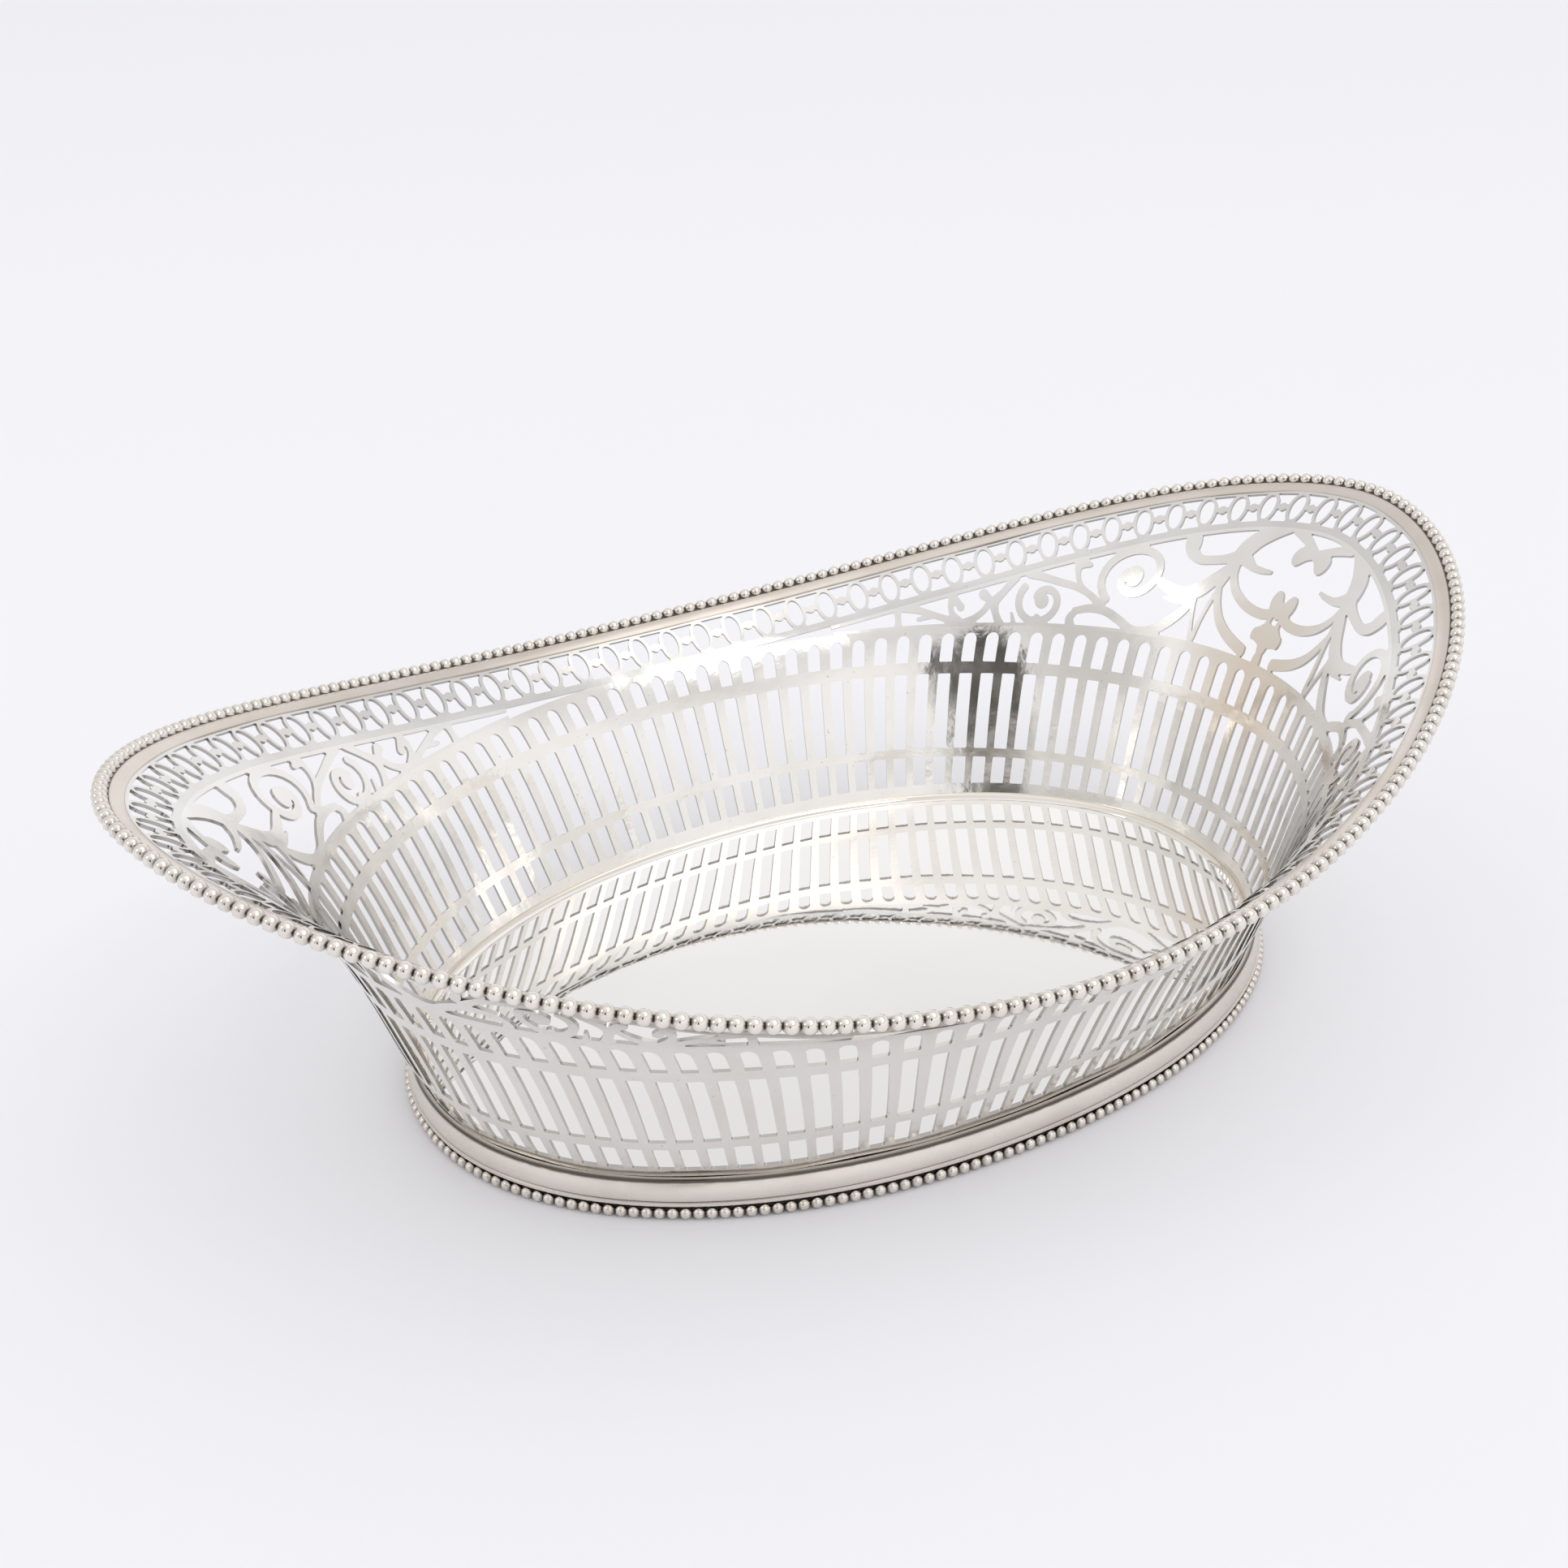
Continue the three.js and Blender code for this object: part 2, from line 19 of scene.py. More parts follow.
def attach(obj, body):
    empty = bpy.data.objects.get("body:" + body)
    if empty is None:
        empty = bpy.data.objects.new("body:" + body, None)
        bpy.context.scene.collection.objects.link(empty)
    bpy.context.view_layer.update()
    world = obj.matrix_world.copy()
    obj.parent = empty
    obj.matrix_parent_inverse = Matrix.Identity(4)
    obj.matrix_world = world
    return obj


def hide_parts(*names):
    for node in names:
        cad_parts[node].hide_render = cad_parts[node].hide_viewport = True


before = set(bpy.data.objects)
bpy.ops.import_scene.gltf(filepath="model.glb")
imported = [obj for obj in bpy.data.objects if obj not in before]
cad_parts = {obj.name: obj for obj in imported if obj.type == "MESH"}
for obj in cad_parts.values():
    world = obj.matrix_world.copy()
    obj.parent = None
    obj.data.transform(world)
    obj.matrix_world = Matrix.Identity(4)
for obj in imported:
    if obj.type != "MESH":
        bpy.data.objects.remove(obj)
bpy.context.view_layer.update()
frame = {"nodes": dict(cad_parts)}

MM = 0.001
# The step in turn or rise by which slopes are taken, and how close two numbers are that count as one.
TURN_STEP = 1e-4
SAME = 1e-6
LOG = logging.getLogger("basket")
Array = np.ndarray
Colour = tuple[float, float, float]
Socket = bpy.types.NodeSocket


def unit(vectors: Array) -> Array:
    """Vectors made one long."""
    return vectors / np.linalg.norm(vectors, axis=-1, keepdims=True)


def halved(low: Array, high: Array, short: Callable[[Array], Array], rounds: int) -> Array:
    """The values between two bounds at which a test stops holding, by halving the gap.

    Args:
        low: Values at which the test holds.
        high: Values at which it doesn't.
        short: The test.
        rounds: How often the gap is halved.

    Returns:
        The values.
    """
    for _ in range(rounds):
        middle = (low + high) / 2
        holds = short(middle)
        low = np.where(holds, middle, low)
        high = np.where(holds, high, middle)
    return (low + high) / 2


@dataclass
class Oval:
    """A level oval whose height sweeps up from its sides to its ends."""

    half_length: float
    half_width: float
    power: float
    side_height: float = 0.0
    end_height: float = 0.0
    steps: int = 4096

    def at_angle(self, angle: Array) -> Array:
        """Points by angle: signed powers 2/power of its cosine and sine, times the half sizes.

        Args:
            angle: Angles in radians, any shape.

        Returns:
            Points, with X, Y and Z on a last axis.
        """
        share = 2 / self.power
        along = np.sign(np.cos(angle)) * np.abs(np.cos(angle)) ** share
        across = np.sign(np.sin(angle)) * np.abs(np.sin(angle)) ** share
        height = self.side_height + (self.end_height - self.side_height) * along**2
        return np.stack([self.half_length * along, self.half_width * across, height], -1)

    @cached_property
    def _table(self) -> tuple[Array, Array, float]:
        """Measures the way round, by adding up short steps.

        Returns:
            Angles, the share of the length reached at each, and the whole length.
        """
        angle = np.linspace(0, 2 * np.pi, self.steps + 1)
        steps = np.linalg.norm(np.diff(self.at_angle(angle), axis=0), axis=1)
        reached = np.concatenate([[0], np.cumsum(steps)])
        return angle, reached / reached[-1], float(reached[-1])

    @property
    def length(self) -> float:
        """The length of the way round."""
        return self._table[2]

    def around(self, turn: Array) -> Array:
        """Points a share of the way round, measured along the oval from the +X end.

        Args:
            turn: Shares of the way round, any shape.

        Returns:
            Points, with X, Y and Z on a last axis.
        """
        angle, reached, _ = self._table
        return self.at_angle(np.interp(np.mod(turn, 1), reached, angle))


@dataclass
class WallSurface:
    """The middle of the wall's sheet: a cubic Bezier profile carried by four ovals, from foot to rim."""

    foot: Oval
    belly: Oval
    flare: Oval
    rim: Oval
    halvings: int = 22

    def point(self, turn: Array, rise: Array) -> Array:
        """Points of the sheet: the four ovals' points weighted by the cubic Bezier's weights at rise.

        Args:
            turn: Shares of the way round.
            rise: 0 at the foot to 1 at the rim.

        Returns:
            Points, with X, Y and Z on a last axis.
        """
        t = np.asarray(rise)[..., None]
        return (
            (1 - t) ** 3 * self.foot.around(turn)
            + 3 * (1 - t) ** 2 * t * self.belly.around(turn)
            + 3 * (1 - t) * t**2 * self.flare.around(turn)
            + t**3 * self.rim.around(turn)
        )

    def slopes(self, turn: Array, rise: Array) -> tuple[Array, Array]:
        """How fast the sheet moves with turn and with rise, by small steps both ways.

        Args:
            turn: Shares of the way round.
            rise: 0 at the foot to 1 at the rim.

        Returns:
            The slope along the turn and the slope up the rise.
        """
        step = TURN_STEP
        along = (self.point(turn + step, rise) - self.point(turn - step, rise)) / (2 * step)
        up = (self.point(turn, rise + step) - self.point(turn, rise - step)) / (2 * step)
        return along, up

    def normal(self, turn: Array, rise: Array) -> Array:
        """Outward unit normals of the sheet: along crossed with up."""
        along, up = self.slopes(turn, rise)
        return unit(np.cross(along, up))

    def rise_at_height(self, turn: Array, height: Array) -> Array:
        """The rise at which the sheet reaches a height, by halving.

        Args:
            turn: Shares of the way round.
            height: Heights above the table.

        Returns:
            Rises from 0 to 1.
        """
        foot = np.zeros(np.broadcast(turn, height).shape)

        def below(rise: Array) -> Array:
            """Whether the sheet is still under the height."""
            return self.point(turn + foot, rise)[..., 2] < height

        return halved(foot, np.ones_like(foot), below, self.halvings)

    def end_share(self, turn: Array) -> Array:
        """0 at the sides to 1 at the ends: how far levels have swept up."""
        return (self.rim.around(turn)[..., 0] / self.rim.half_length) ** 2


@dataclass
class RimChart:
    """Finds places on the wall by their distance along the rim and down the sheet, square to its levels."""

    surface: WallSurface
    columns: int = 720
    depth: float = 62.0
    step: float = 0.5
    halvings: int = 18

    @cached_property
    def _table(self) -> tuple[Array, Array]:
        """Walks down the sheet's steepest way in small steps, from even places along the rim.

        Returns:
            How far turn has drifted, and the rise, as columns by steps.
        """
        start = np.arange(self.columns) / self.columns
        turn, rise = start.copy(), np.ones(self.columns)
        drifts, rises = [turn - start], [rise]
        for _ in range(int(self.depth / self.step)):
            along, up = self.surface.slopes(turn, rise)
            drift = np.sum(up * along, -1) / np.sum(along * along, -1)
            pace = np.linalg.norm(along * drift[:, None] - up, axis=-1)
            turn = turn + drift * self.step / pace
            rise = rise - self.step / pace
            drifts.append(turn - start)
            rises.append(rise)
        return np.stack(drifts, 1), np.stack(rises, 1)

    def locate(self, along: Array, down: Array) -> tuple[Array, Array]:
        """Turn and rise at places given by distances, read between the table's even places.

        Args:
            along: Distances along the rim from the +X end.
            down: Distances down the sheet from its upper line, below 0 past the line.

        Returns:
            Turn and rise.
        """
        turn0 = along / self.surface.rim.length
        column = np.mod(turn0, 1) * self.columns
        row = down / self.step
        i = np.floor(column).astype(int) % self.columns
        j = np.clip(np.floor(row).astype(int), 0, int(self.depth / self.step) - 1)
        a, b = (column - np.floor(column)), (row - j)
        following = (i + 1) % self.columns

        def between(table: Array) -> Array:
            """The table's value between its four nearest places, weighted by nearness.

            Args:
                table: The table, as columns by steps.

            Returns:
                The values.
            """
            near = table[i, j] * (1 - b) + table[i, j + 1] * b
            far = table[following, j] * (1 - b) + table[following, j + 1] * b
            return near * (1 - a) + far * a

        drift, rise = (between(table) for table in self._table)
        return turn0 + drift, rise

    def down_to(self, along: Array, rise_of: Callable[[Array], Array]) -> Array:
        """How far down the sheet a level line lies, by halving.

        Args:
            along: Distances along the rim.
            rise_of: The line's rise at given turns.

        Returns:
            Distances down from the rim.
        """

        def above(down: Array) -> Array:
            """Whether the place is still over the line."""
            turn, rise = self.locate(along, down)
            return rise > rise_of(turn)

        return halved(np.zeros_like(along), np.full_like(along, self.depth - 1), above, self.halvings)


def mesh_object(
    name: str, points: Array, polygons: Sequence[Array], crease: float = 38.0
) -> bpy.types.Object:
    """Makes a smooth-shaded mesh object at the origin from arrays of corners.

    Args:
        name: The piece's name.
        points: Corner points in millimetres.
        polygons: Arrays of corner numbers with a row for each face, one array or more for each kind of face.
        crease: Angle in degrees past which an edge is shaded sharp.

    Returns:
        The object, linked to the scene.
    """
    mesh = bpy.data.meshes.new(name)
    counts = np.concatenate([np.full(len(rows), rows.shape[1]) for rows in polygons])
    corners = np.concatenate([rows.ravel() for rows in polygons]).astype(np.int32)
    starts = np.concatenate([[0], np.cumsum(counts)[:-1]]).astype(np.int32)
    mesh.vertices.add(len(points))
    mesh.vertices.foreach_set("co", (np.asarray(points) * MM).astype(np.float32).ravel())
    mesh.loops.add(len(corners))
    mesh.polygons.add(len(counts))
    mesh.polygons.foreach_set("loop_start", starts)
    mesh.polygons.foreach_set("vertices", corners)
    mesh.polygons.foreach_set("use_smooth", np.ones(len(counts), dtype=bool))
    mesh.update(calc_edges=True)
    mesh.validate()
    mesh.set_sharp_from_angle(angle=np.radians(crease))
    piece = bpy.data.objects.new(name, mesh)
    bpy.context.scene.collection.objects.link(piece)
    return piece


SHADE = "shade"


class Domain(Enum):
    """What a mesh's values belong to."""

    CORNER_POINTS = "POINT"
    FACES = "FACE"


def store_shade(piece: bpy.types.Object, domain: Domain, values: Array) -> None:
    """Stores how far each point or face has darkened, from 0 to 1, for its finish to read: painted shade on cut
    edges, in bead necks and in grooves, and the warmer tone of the plate's ridge.

    Args:
        piece: The piece.
        domain: Whether the values belong to points or to faces.
        values: One value for each.
    """
    layer = piece.data.attributes.new(SHADE, "FLOAT", domain.value)
    layer.data.foreach_set("value", values.astype(np.float32))


@dataclass
class CutGrid:
    """What is left of a grid after piercing: corners, their share of two grid corners, and triangles."""

    first: Array
    second: Array
    share: Array
    triangles: Array

    def carry(self, values: Array) -> Array:
        """Values of the grid's corners brought to the cut grid's corners, evenly between the two."""
        values = values.reshape(-1)
        return values[self.first] * (1 - self.share) + values[self.second] * self.share


# For cut_grid: its step for slopes, the least squared slope and the least drops along an edge that it divides by,
# and the share of an edge up to which a new corner is the old one.
NUDGE = 1e-3
LEAST_STEEP = 0.3
LEAST_DROP = 1e-9
LEAST_DROP_AGAIN = 1e-3
AT_CORNER = 1e-3


def cut_grid(
    x: Array, y: Array, metal: Callable[[Array, Array], Array], slide: float = 0.0
) -> tuple[CutGrid, Array, Array]:
    """Cuts a pattern out of a grid of triangles, with new corners where its outline crosses their edges.

    Args:
        x: Grid corners' first coordinate, as columns by rows.
        y: Grid corners' second coordinate, up a face that looks out where the first runs to its right.
        metal: The distance inside the metal at given places, negative in a hole.
        slide: Grid corners closer to the outline than this slide onto it, which avoids slivers.

    Returns:
        The cut grid, and the two coordinates after sliding.
    """
    columns, rows = x.shape
    x, y = x.ravel().copy(), y.ravel().copy()
    inside_by = metal(x, y)
    if slide:
        near = np.flatnonzero(np.abs(inside_by) < slide)
        slope_x = (metal(x[near] + NUDGE, y[near]) - metal(x[near] - NUDGE, y[near])) / (2 * NUDGE)
        slope_y = (metal(x[near], y[near] + NUDGE) - metal(x[near], y[near] - NUDGE)) / (2 * NUDGE)
        steep = np.maximum(slope_x**2 + slope_y**2, LEAST_STEEP)
        x[near] -= inside_by[near] * slope_x / steep
        y[near] -= inside_by[near] * slope_y / steep
        inside_by[near] = 0
    number = np.arange(columns * rows).reshape(columns, rows)
    a, b, c, d = number[:-1, :-1], number[1:, :-1], number[1:, 1:], number[:-1, 1:]
    triangles = np.concatenate([np.stack(t, -1).reshape(-1, 3) for t in ((a, b, c), (a, c, d))])
    inside = inside_by >= 0
    counted = inside[triangles].sum(1)

    def turned(rows_of: Array, first: Array) -> Array:
        """The triangles with the marked corner first."""
        start = np.argmax(first, axis=1)[:, None]
        return np.take_along_axis(rows_of, (start + np.arange(3)) % 3, axis=1)

    one = triangles[counted == 1]
    one = turned(one, inside[one])
    two = triangles[counted == 2]
    two = turned(two, ~inside[two])
    crossed = np.concatenate([one[:, [0, 1]], one[:, [0, 2]], two[:, [1, 0]], two[:, [2, 0]]])
    keys, back = np.unique(crossed[:, 0] * number.size + crossed[:, 1], return_inverse=True)
    kept, lost = keys // number.size, keys % number.size
    drop = inside_by[kept] - inside_by[lost]
    share = inside_by[kept] / np.maximum(drop, LEAST_DROP)
    on_line = metal(x[kept] + share * (x[lost] - x[kept]), y[kept] + share * (y[lost] - y[kept]))
    share = np.clip(share + on_line / np.maximum(drop, LEAST_DROP_AGAIN), 0, 1)
    share[inside_by[kept] == 0] = 0
    new = np.where(share < AT_CORNER, kept, number.size + np.arange(len(keys)))[back.ravel()]
    ab, ac, ba, ca = np.split(new, np.cumsum([len(one), len(one), len(two)]))
    triangles = np.concatenate([
        triangles[counted == 3],
        np.stack([one[:, 0], ab, ac], 1),
        np.stack([two[:, 1], two[:, 2], ca], 1),
        np.stack([two[:, 1], ca, ba], 1),
    ])
    whole = (triangles[:, 0] != triangles[:, 1]) & (triangles[:, 1] != triangles[:, 2])
    triangles = triangles[whole & (triangles[:, 0] != triangles[:, 2])]
    first = np.concatenate([np.arange(number.size), kept])
    second = np.concatenate([np.arange(number.size), lost])
    share = np.concatenate([np.zeros(number.size), share])
    used, renumbered = np.unique(triangles, return_inverse=True)
    return CutGrid(first[used], second[used], share[used], renumbered.reshape(-1, 3)), x, y


@dataclass
class Sheet:
    """Silver sheet on the wall's surface, thickened both ways, with slight waves left by the hammer."""

    surface: WallSurface
    thickness: float = 0.8
    wave: float = 0.07
    wave_x: tuple[float, float, float] = (4.7, 0.9, 7.1)
    wave_y: tuple[float, float, float] = (3.9, 1.3, 9.0)
    wave_both: tuple[float, float] = (7.3, 5.2)
    cut_shade: float = 0.48

    def waves(self, points: Array) -> Array:
        """How far the worked sheet stands off its true form.

        Three long sine waves are added: one of X bent by height, one of Y bent by height, and one of both.

        Args:
            points: Places on the sheet.

        Returns:
            Distances along the sheet's normals.
        """
        x, y, z = points[..., 0], points[..., 1], points[..., 2]
        length_x, bend_x, rise_x = self.wave_x
        length_y, bend_y, rise_y = self.wave_y
        length, rise = self.wave_both
        return self.wave * (
            np.sin(x / length_x + bend_x * np.sin(z / rise_x))
            + np.sin(y / length_y + bend_y * np.cos(z / rise_y))
            + np.sin((x + y) / length + z / rise)
        )

    def solid(self, name: str, turn: Array, rise: Array, triangles: Array, ring: bool) -> bpy.types.Object:
        """Thickens triangles on the surface into a closed piece: two skins, and cut edges along their outline,
        which carry painted shade.

        Args:
            name: The piece's name.
            turn: The corners' turns.
            rise: The corners' rises.
            triangles: Corner numbers, anticlockwise seen from outside.
            ring: Whether the piece closes on itself all round.

        Returns:
            The piece.
        """
        if ring:
            turn, rise, triangles = close_ring(turn, rise, triangles)
        middle = self.surface.point(turn, rise)
        normal = self.surface.normal(turn, rise)
        middle = middle + normal * self.waves(middle)[:, None]
        half = normal * self.thickness / 2
        points = np.concatenate([middle + half, middle - half])
        count = len(middle)
        edges = np.concatenate([triangles[:, [0, 1]], triangles[:, [1, 2]], triangles[:, [2, 0]]])
        key = edges[:, 0].astype(np.int64) * count + edges[:, 1]
        rim = edges[~np.isin(key, edges[:, 1].astype(np.int64) * count + edges[:, 0])]
        start, end = rim[:, 0], rim[:, 1]
        walls = np.stack([end, start, start + count, end + count], 1)
        skins = np.concatenate([triangles, triangles[:, ::-1] + count])
        piece = mesh_object(name, points, [skins, walls])
        # Painted shade: the cut edges turn towards the dark shade colour.
        shade = np.concatenate([np.zeros(len(skins)), np.full(len(walls), self.cut_shade)])
        store_shade(piece, Domain.FACES, shade)
        return piece


def close_ring(turn: Array, rise: Array, triangles: Array) -> tuple[Array, Array, Array]:
    """Makes a sheet that goes all round close on itself at the +X end.

    Args:
        turn: The corners' turns, from 0 to 1.
        rise: The corners' rises.
        triangles: Corner numbers.

    Returns:
        Turn, rise and triangles with the corners at turn 1 taken as those at turn 0.
    """
    first = np.flatnonzero(np.abs(turn) < SAME)
    last = np.flatnonzero(np.abs(turn - 1) < SAME)
    same = np.arange(len(turn))
    same[last] = first[np.argmin(np.abs(rise[last][:, None] - rise[first][None]), axis=1)]
    used, renumbered = np.unique(same[triangles], return_inverse=True)
    return turn[used], rise[used], renumbered.reshape(-1, 3)


@dataclass
class Place:
    """Centres and directions along a closed path: outward and upward, square to it."""

    centre: Array
    out: Array
    up: Array


def swept_ring(name: str, place: Place, section: Array, crease: float) -> bpy.types.Object:
    """Carries a closed section round a closed path.

    Args:
        name: The piece's name.
        place: The path's points in the order of the turn, with their outward and upward directions.
        section: For each path point, the section's corners as (out, up), going from outward to upward.
        crease: Angle in degrees past which an edge is shaded sharp.

    Returns:
        The piece.
    """
    corners = place.centre[:, None] + place.out[:, None] * section[..., :1]
    corners = corners + place.up[:, None] * section[..., 1:]
    stations, sides = section.shape[:2]
    i, j = np.meshgrid(np.arange(stations), np.arange(sides), indexing="ij")
    here, onward = i * sides, ((i + 1) % stations) * sides
    following = (j + 1) % sides
    quads = np.stack([here + j, onward + j, onward + following, here + following], -1).reshape(-1, 4)
    return mesh_object(name, corners.reshape(-1, 3), [quads], crease)


def under_rim(chart: RimChart, along: Array, down: float) -> Place:
    """Places on the wall at one distance under the rim.

    Args:
        chart: Finds the places.
        along: Distances along the rim.
        down: Distance down from the sheet's upper line.

    Returns:
        Centres on the sheet, its normals, and directions up the sheet.
    """
    turn, rise = chart.locate(along, np.full_like(along, down))
    slope, up = chart.surface.slopes(turn, rise)
    out = unit(np.cross(slope, up))
    return Place(chart.surface.point(turn, rise), out, unit(np.cross(out, slope)))


def on_level(oval: Oval, turn: Array) -> Place:
    """Places on a level oval, with level outward directions square to it.

    Args:
        oval: The oval.
        turn: Shares of the way round.

    Returns:
        Centres on the oval, its outward directions, and straight up.
    """
    slope = oval.around(turn + TURN_STEP) - oval.around(turn - TURN_STEP)
    out = unit(np.stack([slope[:, 1], -slope[:, 0], 0 * turn], -1))
    return Place(oval.around(turn), out, np.tile([0.0, 0.0, 1.0], (len(turn), 1)))


class Slot(str, Enum):
    """The record's material slots."""

    WALL = "wall_silver"
    BORDER = "border_silver"
    SCROLLS = "scroll_silver"
    RIM = "rim_silver"
    WIRE = "wire_silver"
    FOOT = "foot_silver"
    PLATE = "plate_silver"


@dataclass(frozen=True)
class Wiring:
    """Adds and joins the nodes of a finish or of the room."""

    tree: bpy.types.NodeTree

    def mixed(self, factor: Socket, colour: Socket, other: Colour) -> Socket:
        """A colour that turns into another one.

        Args:
            factor: The other colour's share.
            colour: The colour to start from.
            other: The other colour.

        Returns:
            The mixed colour.
        """
        mix = self.tree.nodes.new("ShaderNodeMix")
        mix.data_type = "RGBA"
        self.tree.links.new(factor, mix.inputs["Factor"])
        self.tree.links.new(colour, mix.inputs["A"])
        mix.inputs["B"].default_value = (*other, 1)
        return mix.outputs["Result"]

    def ranged(
        self, value: Socket, start: float, end: float, to: tuple[float, float], soft: bool = False
    ) -> Socket:
        """A value read between two bounds and brought to a range, straight or with soft ends.

        Args:
            value: The value.
            start: The bound that gives the range's first number.
            end: The bound that gives its second.
            to: The range.
            soft: Whether the ends are soft.

        Returns:
            The value in its range.
        """
        reach = self.tree.nodes.new("ShaderNodeMapRange")
        reach.interpolation_type = "SMOOTHSTEP" if soft else "LINEAR"
        for name, number in (("From Min", start), ("From Max", end), ("To Min", to[0]), ("To Max", to[1])):
            reach.inputs[name].default_value = number
        self.tree.links.new(value, reach.inputs["Value"])
        return reach.outputs["Result"]

    def measured(self, operation: str, place: Socket, other: Sequence[float]) -> Socket:
        """One number worked out from a place and a fixed vector.

        Args:
            operation: The vector operation's name.
            place: The place.
            other: The fixed vector.

        Returns:
            The number.
        """
        made = self.tree.nodes.new("ShaderNodeVectorMath")
        made.operation = operation
        self.tree.links.new(place, made.inputs[0])
        made.inputs[1].default_value = other
        return made.outputs["Value"]

    def noise(self, place: Socket, scale: float, detail: float) -> Socket:
        """Soft noise over the place.

        Args:
            place: The place.
            scale: How fine it is.
            detail: How many finer layers it has.

        Returns:
            The noise, mostly between 0.3 and 0.7.
        """
        texture = self.tree.nodes.new("ShaderNodeTexNoise")
        texture.inputs["Scale"].default_value = scale
        texture.inputs["Detail"].default_value = detail
        self.tree.links.new(place, texture.inputs["Vector"])
        return texture.outputs["Fac"]


# How many finer layers the noise of patches, specks, smears and bumps has.
PATCH_DETAIL, SPECK_DETAIL, SMEAR_DETAIL, BUMP_DETAIL = 4.0, 1.0, 5.0, 3.0


@dataclass(frozen=True)
class SilverFinish:
    """Polished silver: its colour, the colour it dulls to in patches, its gloss and its fine unevenness.

    Dark specks, a colour of painted shade mixed in where the piece's shade is high, and a stain round one place
    may be added.
    """

    name: str
    colour: Colour
    dulled: Colour
    roughness: tuple[float, float] = (0.08, 0.2)
    dull_share: float = 0.4
    dull_edges: tuple[float, float] = (0.12, 0.2)
    patch_scale: float = 45.0
    gloss_scale: float = 2.3
    gloss_edges: tuple[float, float] = (0.3, 0.7)
    unevenness: float = 0.05
    bump_scale: float = 160.0
    bump_depth: float = 0.0006
    speck_level: float = 0.0
    speck_scale: float = 900.0
    speck_edges: tuple[float, float] = (0.72, 0.78)
    speck_colour: Colour = (0.36, 0.28, 0.2)
    shade_colour: Colour = (0.11, 0.095, 0.08)
    stain: tuple[float, float, float] | None = None
    stain_level: float = 0.58
    stain_edges: tuple[float, float] = (0.036, 0.004)
    stain_colour: Colour = (0.76, 0.62, 0.47)

    def patched(self, wiring: Wiring, place: Socket) -> Socket:
        """The metal's colour, dulled in patches, with its specks and its stain.

        Args:
            wiring: Adds the nodes.
            place: The place on the object.

        Returns:
            The colour.
        """
        ramp = wiring.tree.nodes.new("ShaderNodeValToRGB")
        fresh, dull = ramp.color_ramp.elements
        fresh.position, fresh.color = 1 - self.dull_share - self.dull_edges[0], (*self.colour, 1)
        dull.position, dull.color = 1 - self.dull_share + self.dull_edges[1], (*self.dulled, 1)
        wiring.tree.links.new(wiring.noise(place, self.patch_scale, PATCH_DETAIL), ramp.inputs["Fac"])
        colour = ramp.outputs["Color"]
        if self.speck_level:
            specks = wiring.noise(place, self.speck_scale, SPECK_DETAIL)
            colour = wiring.mixed(
                wiring.ranged(specks, *self.speck_edges, (0.0, self.speck_level)), colour, self.speck_colour
            )
        if self.stain:
            far = wiring.measured("DISTANCE", place, self.stain)
            near = wiring.ranged(far, *self.stain_edges, (0.0, self.stain_level), soft=True)
            colour = wiring.mixed(near, colour, self.stain_colour)
        return colour

    def material(self) -> bpy.types.Material:
        """Builds the node material on Object coordinates.

        Returns:
            The material: a metal whose colour and gloss change in soft patches, with a faint bump.
        """
        made = bpy.data.materials.new(self.name)
        made.use_nodes = True
        nodes, links = made.node_tree.nodes, made.node_tree.links
        wiring = Wiring(made.node_tree)
        shader = nodes["Principled BSDF"]
        shader.inputs["Metallic"].default_value = 1.0
        place = nodes.new("ShaderNodeTexCoord").outputs["Object"]
        shade = nodes.new("ShaderNodeAttribute")
        shade.attribute_name = SHADE
        # Painted shade: where the shade value is high the colour turns to the shade colour; on the plate it turns
        # to its ridge's warmer tone.
        colour = wiring.mixed(shade.outputs["Fac"], self.patched(wiring, place), self.shade_colour)
        links.new(colour, shader.inputs["Base Color"])
        smears = wiring.noise(place, self.patch_scale * self.gloss_scale, SMEAR_DETAIL)
        links.new(wiring.ranged(smears, *self.gloss_edges, self.roughness), shader.inputs["Roughness"])
        bump = nodes.new("ShaderNodeBump")
        bump.inputs["Strength"].default_value = self.unevenness
        bump.inputs["Distance"].default_value = self.bump_depth
        links.new(wiring.noise(place, self.bump_scale, BUMP_DETAIL), bump.inputs["Height"])
        links.new(bump.outputs["Normal"], shader.inputs["Normal"])
        return made


